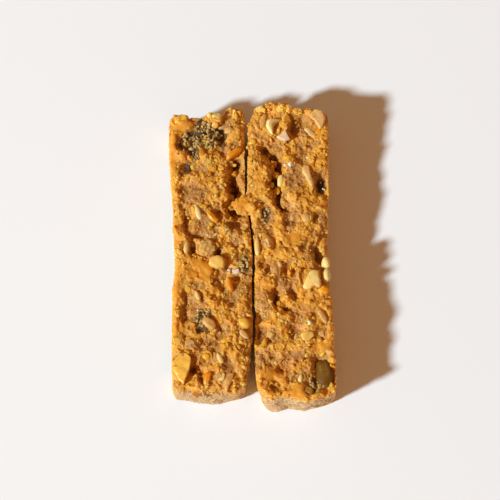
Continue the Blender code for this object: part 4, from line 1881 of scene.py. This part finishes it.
LOOSE_CRUMB = Finish("loose_crumb", (0.56, 0.26, 0.04), (0.72, 0.39, 0.08), (0.84, 0.55, 0.18),
                     scale=900.0, roughness=0.6, scatter=0.7, scatter_depth=0.8, shine=0.1)
ASHEN_CRUMB = Finish("ashen_crumb", (0.18, 0.09, 0.028), (0.50, 0.315, 0.10), (0.78, 0.55, 0.23),
                     scale=900.0, roughness=0.7, scatter=0.0, shine=0.1)
CREAM_FLAKE = Finish("cream_flake", (0.74, 0.50, 0.27), (0.85, 0.63, 0.38), (0.92, 0.74, 0.50),
                     scale=420.0, roughness=0.5, scatter=0.6, scatter_depth=1.0, bump=0.1)

NUT_SCRAP = Chunk(rounds=3, power=3.0, cuts=5, cut_from=0.5, ripple=0.08)

TOPPINGS = (
    Topping(
        "yellow_nuts", YELLOW_NUT, NUT_SCRAP, more=6, more_radius=(0.5, 0.9), seed=31,
        more_proud=(-0.1, 0.25),
        slabs=(
            Slab(((-12.9, -4.9), (-12.1, -3.1), (-10.1, -2.4), (-8.4, -3.1), (-7.7, -4.5),
                  (-8.1, -6.3), (-10.1, -6.4), (-12.1, -5.7)), thickness=2.6, dome=0.5),
            Slab(((15.2, -12.3), (16.2, -10.2), (17.4, -7.5), (18.9, -6.8), (20.2, -7.4),
                  (20.5, -9.3), (21.1, -11.3), (20.6, -12.2), (18.8, -11.8), (17.8, -12.7),
                  (16.5, -13.0)), thickness=3.2, dome=0.4, proud=0.2, lean=0.03),
            Slab(((14.7, -26.7), (16.4, -25.9), (18.4, -26.2), (18.7, -27.4), (17.3, -28.8),
                  (15.3, -28.9)), thickness=2.2, proud=0.7, edge=0.2, dome=0.1),
            Slab(((8.0, 22.4), (8.7, 23.5), (9.6, 23.9), (10.1, 22.4), (9.9, 20.6), (9.0, 19.7),
                  (8.0, 20.2)), thickness=2.4, dome=0.3, lean=-0.12)),
        bits=(Bit(-10.4, 42.4, 1.6, 1.5, 1.3, proud=0.4), Bit(-12.6, 42.6, 1.1, 1.0, 0.9)),
    ),
    Topping(
        "golden_nuts", GOLDEN_NUT, NUT_SCRAP, more=30, more_radius=(0.6, 1.3), seed=37,
        more_proud=(-0.1, 0.25),
        slabs=(
            Slab(((-3.8, -22.0), (-2.1, -21.6), (-0.4, -22.6), (0.0, -24.0), (-1.0, -25.1),
                  (-2.7, -24.8), (-3.7, -23.4)), thickness=2.4, dome=0.5),
            Slab(((-14.7, -33.0), (-13.6, -32.2), (-12.2, -32.6), (-11.9, -33.8), (-12.9, -34.6),
                  (-14.2, -34.3)), thickness=1.8, dome=0.4)),
        bits=(
            Bit(11.3, 28.6, 1.7, 1.2, 1.1), Bit(10.1, -26.6, 1.3, 1.3, 1.0),
            Bit(-8.0, -28.9, 1.1, 0.9, 0.8), Bit(3.6, -29.6, 0.9, 2.1, 0.9, -18.0, 0.4),
            Bit(-20.8, 41.8, 1.6, 1.3, 1.2, proud=0.5), Bit(-2.1, -0.6, 0.9, 1.2, 0.9),
            Bit(-6.6, -2.2, 0.9, 1.2, 0.9, 20.0), Bit(0.4, 34.6, 1.6, 1.6, 1.2, proud=0.5),
            Bit(-11.2, 39.6, 1.3, 1.2, 1.0, 20.0, 0.3), Bit(-22.6, 41.0, 1.4, 1.4, 1.2, proud=0.3)),
    ),
    Topping(
        "glossy_nut", GLOSSY_NUT, NUT_SCRAP, seed=79, tones=(0.6, 0.7),
        slabs=(
            Slab(((-23.3, -35.3), (-20.4, -32.4), (-18.9, -32.6), (-17.7, -33.9), (-17.7, -35.1),
                  (-18.2, -37.5), (-19.8, -42.0), (-21.6, -40.4), (-22.9, -37.4)),
                 thickness=2.6, edge=0.3, dome=0.1, proud=0.3, lean=0.12, follow=0.0),),
    ),
    Topping(
        "gold_clumps", GLOSSY_NUT, Chunk(rounds=4, power=2.8, cuts=5, ripple=0.2, grain=0.3),
        seed=83, tones=(0.3, 0.85),
        bits=(
            Bit(9.0, 44.8, 1.7, 1.2, 1.3, 10.0, 1.0), Bit(11.6, 44.6, 1.4, 1.3, 1.3, 0.0, 1.1),
            Bit(14.3, 44.2, 1.5, 1.3, 1.4, 0.0, 1.1), Bit(2.7, 44.6, 1.5, 1.3, 1.4, 0.0, 0.8),
            Bit(10.6, 41.6, 1.2, 1.8, 1.2, 20.0, 0.7), Bit(-4.9, 43.2, 1.5, 1.8, 1.4, 0.0, 0.7),
            Bit(-3.0, 41.0, 1.2, 1.4, 1.2, 0.0, 0.5), Bit(-22.4, 21.8, 1.2, 1.7, 1.1, 0.0, 0.4),
            Bit(-22.3, 11.4, 1.1, 1.7, 1.1, 0.0, 0.4), Bit(-22.2, -1.4, 1.0, 1.4, 1.0, 0.0, 0.3),
            Bit(-22.0, -20.0, 1.0, 1.5, 1.0, 0.0, 0.3), Bit(-22.2, -28.6, 1.2, 1.6, 1.1, 0.0, 0.4)),
    ),
    Topping(
        "blanched_nuts", BLANCHED_NUT, NUT_SCRAP, more=26, more_radius=(0.6, 1.3), seed=41,
        more_proud=(-0.15, 0.2),
        slabs=(
            Slab(((18.0, 42.9), (19.5, 44.5), (21.9, 44.0), (22.9, 41.3), (22.0, 38.6),
                  (21.0, 37.8), (19.8, 39.7), (18.4, 41.3)), thickness=2.6, dome=0.2, proud=-0.05,
                 lean=0.1, follow=0.0),
            Slab(((16.0, 38.4), (17.6, 39.0), (19.2, 37.6), (20.6, 35.8), (19.8, 35.0),
                  (17.6, 36.0)), thickness=1.8, dome=0.2, proud=0.15, follow=0.0),
            Slab(((-7.9, -40.9), (-6.6, -38.9), (-4.9, -38.5), (-5.2, -40.5), (-6.5, -42.9),
                  (-7.2, -45.0), (-7.9, -42.9)), thickness=1.4, edge=0.3, dome=0.2, proud=0.5),
            Slab(((-14.5, -22.1), (-13.3, -21.4), (-11.0, -22.6), (-10.2, -24.4),
                  (-11.3, -25.4), (-13.3, -24.6), (-14.5, -23.4)), thickness=2.2, dome=0.6),
            Slab(((-3.7, -25.6), (-2.7, -25.0), (-1.1, -26.3), (-0.4, -28.2), (-2.1, -28.0),
                  (-3.4, -27.0)), thickness=1.8, dome=0.2, proud=0.1),
            Slab(((15.0, 10.5), (16.7, 11.3), (18.2, 10.2), (18.0, 8.4), (16.3, 7.8),
                  (15.2, 8.8)), thickness=2.2, dome=0.4),
            Slab(((15.5, 24.2), (15.5, 26.0), (16.4, 26.6), (17.7, 26.5), (18.0, 24.8),
                  (18.3, 23.3), (19.3, 19.9), (18.2, 19.2), (17.2, 21.2), (16.5, 22.8)),
                 thickness=1.8, dome=0.2, proud=0.1, lean=0.08),
            Slab(((19.6, -20.2), (20.4, -18.8), (21.4, -19.7), (22.7, -21.9), (23.0, -23.3),
                  (22.0, -23.6), (20.7, -22.1)), thickness=1.8, dome=0.2, proud=-0.05),
            Slab(((2.3, 40.9), (3.3, 42.7), (4.7, 43.8), (5.0, 42.3), (4.3, 39.8), (3.0, 37.6),
                  (2.2, 38.3)), thickness=1.8, dome=0.4, proud=0.4)),
        bits=(
            Bit(5.2, 1.5, 1.2, 1.7, 1.1),
            Bit(-9.0, -39.5, 1.4, 1.3, 1.1), Bit(-18.2, -29.8, 1.4, 1.5, 0.9),
            Bit(20.8, -26.0, 1.7, 1.6, 1.0), Bit(-6.8, 37.8, 1.4, 1.2, 0.9),
            Bit(-14.5, -11.8, 1.2, 1.1, 0.8), Bit(14.2, -9.3, 0.55, 2.4, 0.9, 12.0, proud=0.6),
            Bit(-9.3, 19.4, 1.3, 1.2, 0.9), Bit(-17.2, 41.2, 1.8, 1.2, 1.2, proud=0.3),
            Bit(-11.0, 1.6, 1.1, 1.0, 0.8, 0.0, 0.4),
            Bit(-15.8, 1.9, 0.9, 1.1, 0.7, 60.0, 0.4)),
    ),
    Topping(
        "pale_seeds", SOFT_SEED, Chunk(rounds=4, power=2.2, ripple=0.04, taper=0.28), seed=43,
        bits=(
            Bit(-9.2, -34.2, 0.75, 1.75, 0.7, 26.0), Bit(1.85, 0.6, 0.85, 2.9, 1.0, 2.0),
            Bit(-19.4, 0.25, 0.85, 2.0, 0.8, -6.0), Bit(14.6, -39.9, 0.65, 1.25, 0.7, -12.0),
            Bit(-16.1, 11.6, 0.9, 2.6, 0.8, 20.0, 0.1), Bit(-7.1, 5.7, 0.8, 2.1, 0.6, 30.0),
            Bit(-16.0, -14.8, 0.7, 1.5, 0.6, 24.0)),
    ),
    Topping(
        "rim_seeds", PALE_SEED, Chunk(rounds=4, power=2.2, ripple=0.04, taper=0.2), seed=89,
        tones=(0.6, 1.0),
        bits=(
            Bit(22.4, -4.2, 1.25, 1.9, 1.8, 4.0, 2.1), Bit(22.5, -8.0, 1.25, 2.2, 2.2, -4.0, 2.5),
            Bit(17.2, -23.4, 0.85, 0.85, 0.9, 10.0, 1.0)),
    ),
    Topping(
        "tan_nut", TAN_NUT, Chunk(rounds=5, power=2.6, cuts=3, ripple=0.14, grain=0.4), seed=97,
        tones=(0.5, 0.6),
        bits=(Bit(-13.4, 0.1, 2.6, 2.2, 1.1, 25.0, 0.4),),
    ),
    Topping(
        "dough_lumps", DOUGH_CRUMB, Chunk(rounds=4, power=2.6, cuts=4, ripple=0.18, grain=0.3),
        seed=101,
        bits=(
            Bit(6.6, 27.9, 1.3, 1.1, 1.7, 0.0, 2.6), Bit(7.6, 24.1, 1.1, 1.2, 1.7, 0.0, 2.3),
            Bit(6.3, 25.8, 0.9, 1.0, 1.6, 0.0, 2.0), Bit(7.6, 18.9, 1.2, 1.4, 1.7, 0.0, 2.4),
            Bit(6.2, 20.9, 0.9, 1.1, 1.5, 0.0, 2.0), Bit(-5.3, 24.3, 1.1, 0.9, 1.6, 0.0, 2.0),
            Bit(-6.0, 17.2, 0.9, 0.9, 1.4, 0.0, 1.6), Bit(8.3, -16.9, 0.8, 1.0, 1.2, 0.0, 1.2),
            Bit(-15.6, 31.9, 0.6, 1.3, 0.8, 22.0, 0.7), Bit(-14.7, 29.8, 0.8, 1.4, 0.9, 30.0, 0.8),
            Bit(-13.4, 27.8, 1.0, 1.6, 0.9, 36.0, 0.7), Bit(-11.9, 25.8, 1.3, 1.5, 0.9, 42.0, 0.5),
            Bit(-14.0, 32.0, 0.5, 1.2, 0.7, 48.0, 0.6)),
    ),
    Topping(
        "cream_crescent", PALE_SEED, Chunk(rounds=5, power=2.5, ripple=0.04, bend=1.5), seed=47,
        bits=(Bit(6.6, 39.3, 1.3, 2.8, 1.5, -26.0, 0.9),),
    ),
    Topping(
        "cream_flake", CREAM_FLAKE, NUT_SCRAP, seed=73,
        slabs=(
            Slab(((7.6, 35.2), (9.2, 36.0), (10.4, 37.6), (11.2, 35.7), (12.0, 34.4),
                  (10.4, 33.8), (9.0, 34.3)), thickness=1.6, edge=0.2, dome=0.1, proud=0.9,
                 follow=0.0),),
    ),
    Topping(
        "orange_bits", ORANGE_FRUIT, Chunk(rounds=4, power=2.7, ripple=0.08, bend=0.2), more=12,
        more_radius=(0.4, 0.75), seed=53,
        bits=(
            Bit(-5.2, 30.1, 1.0, 2.7, 1.0, -52.0, 0.5), Bit(-11.6, 9.9, 1.0, 2.2, 0.9, 42.0),
            Bit(-6.3, -11.5, 0.9, 2.0, 0.9, 12.0), Bit(22.1, -13.1, 1.2, 1.4, 1.1, 60.0, 0.5),
            Bit(-12.9, -40.2, 1.0, 2.2, 0.9, -18.0),
            Bit(20.6, 37.4, 1.3, 0.9, 0.6, 30.0, 0.2), Bit(16.3, -7.2, 0.8, 1.3, 0.6, 10.0, 0.1)),
    ),
    Topping(
        "sugar_crystals", SUGAR, Chunk(rounds=3, power=4.0, cuts=5, cut_from=0.45, ripple=0.05),
        more=6, more_radius=(0.2, 0.35), more_proud=(0.1, 0.25), sharp=20.0, seed=59,
        bits=(
            Bit(-4.7, -6.9, 1.0, 1.0, 0.9, 20.0, 0.6), Bit(-6.6, -6.4, 0.6, 0.5, 0.5, 0.0, 0.5),
            Bit(-8.9, 0.2, 0.6, 0.55, 0.5), Bit(12.2, 26.3, 1.2, 1.0, 1.0, 30.0, 0.7),
            Bit(10.4, 26.7, 0.5, 0.5, 0.4),
            Bit(21.2, 21.6, 0.3, 0.35, 0.3, 10.0, 0.4), Bit(21.9, 19.6, 0.3, 0.3, 0.3, 0.0, 0.4),
            Bit(4.2, 10.4, 0.4, 0.45, 0.4), Bit(-15.9, -19.3, 0.3, 0.3, 0.3)),
    ),
    Topping(
        "dark_berries", DARK_BERRY, Chunk(rounds=4, power=2.2, ripple=0.16, grain=0.5), seed=61,
        bits=(
            Bit(-17.4, 31.6, 1.0, 2.0, 0.9, 22.0, 0.1), Bit(-19.1, 26.6, 0.9, 1.8, 0.8, -8.0, 0.1),
            Bit(-9.3, 36.6, 1.5, 1.9, 1.2, 10.0, -0.1), Bit(-15.6, 36.9, 1.7, 0.7, 0.7, 0.0, 0.1),
            Bit(-16.0, 40.4, 0.9, 0.9, 0.7, 0.0, 0.1),
            Bit(21.4, 21.2, 0.8, 1.5, 0.8, 8.0, 0.1), Bit(21.2, 18.6, 0.6, 1.1, 0.7, 0.0, 0.0),
            Bit(-15.6, -20.4, 0.7, 0.6, 0.6, 0.0, 0.1), Bit(-15.1, -25.1, 1.1, 0.7, 0.7, 0.0, 0.1),
            Bit(-12.9, -26.0, 0.8, 0.4, 0.5, 30.0, 0.1),
            Bit(4.1, 11.8, 0.5, 0.8, 0.5, 30.0, 0.1)),
    ),
    Topping(
        "brown_fruit", BROWN_FRUIT, Chunk(rounds=4, power=2.4, ripple=0.1), seed=71,
        bits=(Bit(17.0, -43.5, 1.5, 1.35, 1.1, 0.0, 0.5),),
    ),
    Topping(
        "raisins", RAISIN, Chunk(rounds=5, power=2.5, ripple=0.08, grain=0.6), seed=67,
        bits=(
            Bit(21.6, -38.1, 2.6, 4.4, 1.7, 8.0, 0.2), Bit(7.9, 25.8, 1.2, 1.5, 1.0, 0.0, 0.1)),
    ),
)

ROUGH_CRUMB = Chunk(rounds=2, power=2.6, cuts=4, ripple=0.15)

DOUGH_CRUMBS = FineCrumbs(
    "dough_crumbs", DOUGH_CRUMB, count=460, radius=(0.4, 0.85), in_breaks=0.3, proud=(-0.3, 0.3),
    chunk=ROUGH_CRUMB, seed=3)
LOOSE_CRUMBS = FineCrumbs("loose_crumbs", LOOSE_CRUMB, count=650, radius=(0.2, 0.4))
ASHEN_CRUMBS = FineCrumbs(
    "ashen_crumbs", ASHEN_CRUMB, count=8000, radius=(0.3, 0.75),
    only=LEFT_FACE.ash + RIGHT_FACE.ash, chunk=ROUGH_CRUMB, seed=9)

WALL_BITS = (
    WallBits("wall_nuts", BLANCHED_NUT, count=22, radius=(0.9, 2.2), seed=5),
    WallBits("wall_golden_nuts", GOLDEN_NUT, count=18, radius=(0.8, 1.8), seed=6),
    WallBits("wall_seeds", SOFT_SEED, count=9, radius=(1.1, 1.9),
             chunk=Chunk(rounds=3, power=2.2, taper=0.25), slender=0.45, seed=7),
)


# ---------------- the studio


@dataclass
class Studio:
    """Plain pale floor, low warm daylight from the left front, and the photograph's camera.

    distance, sun_distance and floor_size are in metres, tilt, sun_height and sun_angle in
    degrees. The sun is a disk sun_angle wide, seen from the bar, and sun_from is where it stands
    from above. The floor has floor_near_wall's color by the sunlit wall, a line from wall_middle
    that is wall_half long both ways, in millimetres, and floor_color's away from it. wall_glow is
    how far from the line about a third of the change is left, across it and past its ends.
    """

    lens: float = 144.0
    sensor: float = 36.0
    distance: float = 0.600
    tilt: float = 17.1
    target: Triple = (-0.35 * MM, -0.85 * MM, 16.0 * MM)
    sun_from: tuple[float, float] = (-0.877, -0.480)
    sun_height: float = 34.3
    sun_distance: float = 5.0
    sun_angle: float = 5.5
    sun_power: float = 341.0
    sun_color: Color = (0.79, 0.93, 1.0)
    sky_color: Color = (0.318, 0.167, 0.079)
    floor_size: float = 3.0
    floor_roughness: float = 0.8
    floor_color: Color = (0.96, 0.972, 0.99)
    floor_near_wall: Color = (0.716, 0.831, 0.971)
    wall_middle: tuple[float, float] = (-25.0, -1.0)
    wall_half: float = 33.0
    wall_glow: tuple[float, float] = (9.0, 6.9)

    def build(self) -> None:
        """Build the floor, the light and the camera."""
        self.add_floor()
        self.add_sun()
        self.add_sky()
        self.add_camera()
        bpy.context.scene.view_settings.view_transform = "Standard"
        LOG.info("studio: floor, sun and camera")

    def add_floor(self) -> None:
        """Add the floor that the bar lies on."""
        deselect_all()
        bpy.ops.mesh.primitive_plane_add(size=self.floor_size)
        floor = bpy.context.object
        floor.name = "floor"
        material, tree, shader = new_material("pale_floor")
        tree.links.new(self.floor_tone(tree), shader.inputs["Base Color"])
        shader.inputs["Roughness"].default_value = self.floor_roughness
        floor.data.materials.append(material)

    def floor_tone(self, tree: Tree) -> Socket:
        """Return the floor's color, which is darker and bluer close by the sunlit wall.

        The wall throws its own warm light on the floor there, and the photographed floor is even.

        Args:
            tree: The floor's node tree.

        Returns:
            The color.
        """
        x, y = self.wall_middle
        across, along = self.wall_glow
        place = add_node(tree, "ShaderNodeTexCoord").outputs["Object"]
        for operation, other in (("SUBTRACT", (x * MM, y * MM, 0.0)), ("ABSOLUTE", (0.0, 0.0, 0.0)),
                                 ("SUBTRACT", (0.0, self.wall_half * MM, 0.0)),
                                 ("MAXIMUM", (0.0, 0.0, 0.0)),
                                 ("DIVIDE", (across * MM, along * MM, MM))):
            step = add_node(tree, "ShaderNodeVectorMath", operation=operation)
            tree.links.new(place, step.inputs[0])
            step.inputs[1].default_value = other
            place = step.outputs["Vector"]
        away = add_node(tree, "ShaderNodeVectorMath", operation="LENGTH")
        tree.links.new(place, away.inputs[0])
        near = add_node(tree, "ShaderNodeMath", operation="EXPONENT")
        tree.links.new(scaled(tree, away.outputs["Value"], -1.0), near.inputs[0])
        tone = add_node(tree, "ShaderNodeMix", data_type="RGBA")
        tree.links.new(near.outputs[0], tone.inputs["Factor"])
        tone.inputs[6].default_value = (*self.floor_color, 1.0)
        tone.inputs[7].default_value = (*self.floor_near_wall, 1.0)
        return tone.outputs[2]

    def add_sun(self) -> None:
        """Add the key light: a far disk that throws the long, slightly soft shadow."""
        height = math.radians(self.sun_height)
        toward = Vector((self.sun_from[0] * math.cos(height), self.sun_from[1] * math.cos(height),
                         math.sin(height)))
        light = bpy.data.lights.new("sun", "AREA")
        light.shape = "DISK"
        light.size = 2.0 * self.sun_distance * math.tan(math.radians(self.sun_angle / 2.0))
        light.energy = self.sun_power
        light.color = self.sun_color
        lamp = bpy.data.objects.new("sun", light)
        lamp.location = toward * self.sun_distance
        lamp.rotation_euler = toward.to_track_quat("Z", "Y").to_euler()
        bpy.context.scene.collection.objects.link(lamp)

    def add_sky(self) -> None:
        """Add the soft warm light that fills the shadows."""
        world = bpy.data.worlds.new("warm_fill")
        world.use_nodes = True
        background = world.node_tree.nodes["Background"]
        set_inputs(background, {"Color": (*self.sky_color, 1.0), "Strength": 1.0})
        bpy.context.scene.world = world

    def add_camera(self) -> None:
        """Add the camera at the photograph's place."""
        camera = bpy.data.cameras.new("camera")
        camera.lens = self.lens
        camera.sensor_width = self.sensor
        camera.clip_start = 0.01
        holder = bpy.data.objects.new("camera", camera)
        tilt = math.radians(self.tilt)
        back = Vector((0.0, -math.sin(tilt), math.cos(tilt))) * self.distance
        holder.location = Vector(self.target) + back
        holder.rotation_euler = (tilt, 0.0, 0.0)
        bpy.context.scene.collection.objects.link(holder)
        bpy.context.scene.camera = holder


# ---------------- assembly


def main() -> None:
    """Build the bar and the studio."""
    logging.basicConfig(level=logging.INFO, format="%(name)s: %(message)s")
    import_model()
    halves = [TornHalf("half_left", "half_right", Side.LEFT, LEFT_FACE, seed=11, skin_band=0.4),
              TornHalf("half_right", "half_left", Side.RIGHT, RIGHT_FACE, seed=23, skin_band=0.3)]
    taken = tuple(oval for topping in TOPPINGS for oval in topping.ovals)
    finish = DoughFinish().material()
    finished = []
    for half in halves:
        dough = half.build("dough_" + half.side.name.lower(), taken)
        dough.data.materials.append(finish)
        finished.append(surface_tree(dough.data))
    bed = Bed([half.surface for half in halves], lowered=0.45 * MM)
    pieces = [topping.build(bed, halves, taken) for topping in TOPPINGS]
    berries = [surface_tree(piece.data) for piece in pieces if piece.name == "dark_berries"]
    skin = Bed(finished)
    DOUGH_CRUMBS.build(halves, skin, taken)
    LOOSE_CRUMBS.build(halves, skin, taken)
    ASHEN_CRUMBS.build(halves, Bed(finished + berries), ())
    for wall_bits in WALL_BITS:
        wall_bits.build(halves, finished)
    Studio().build()


if __name__ == "__main__":
    main()
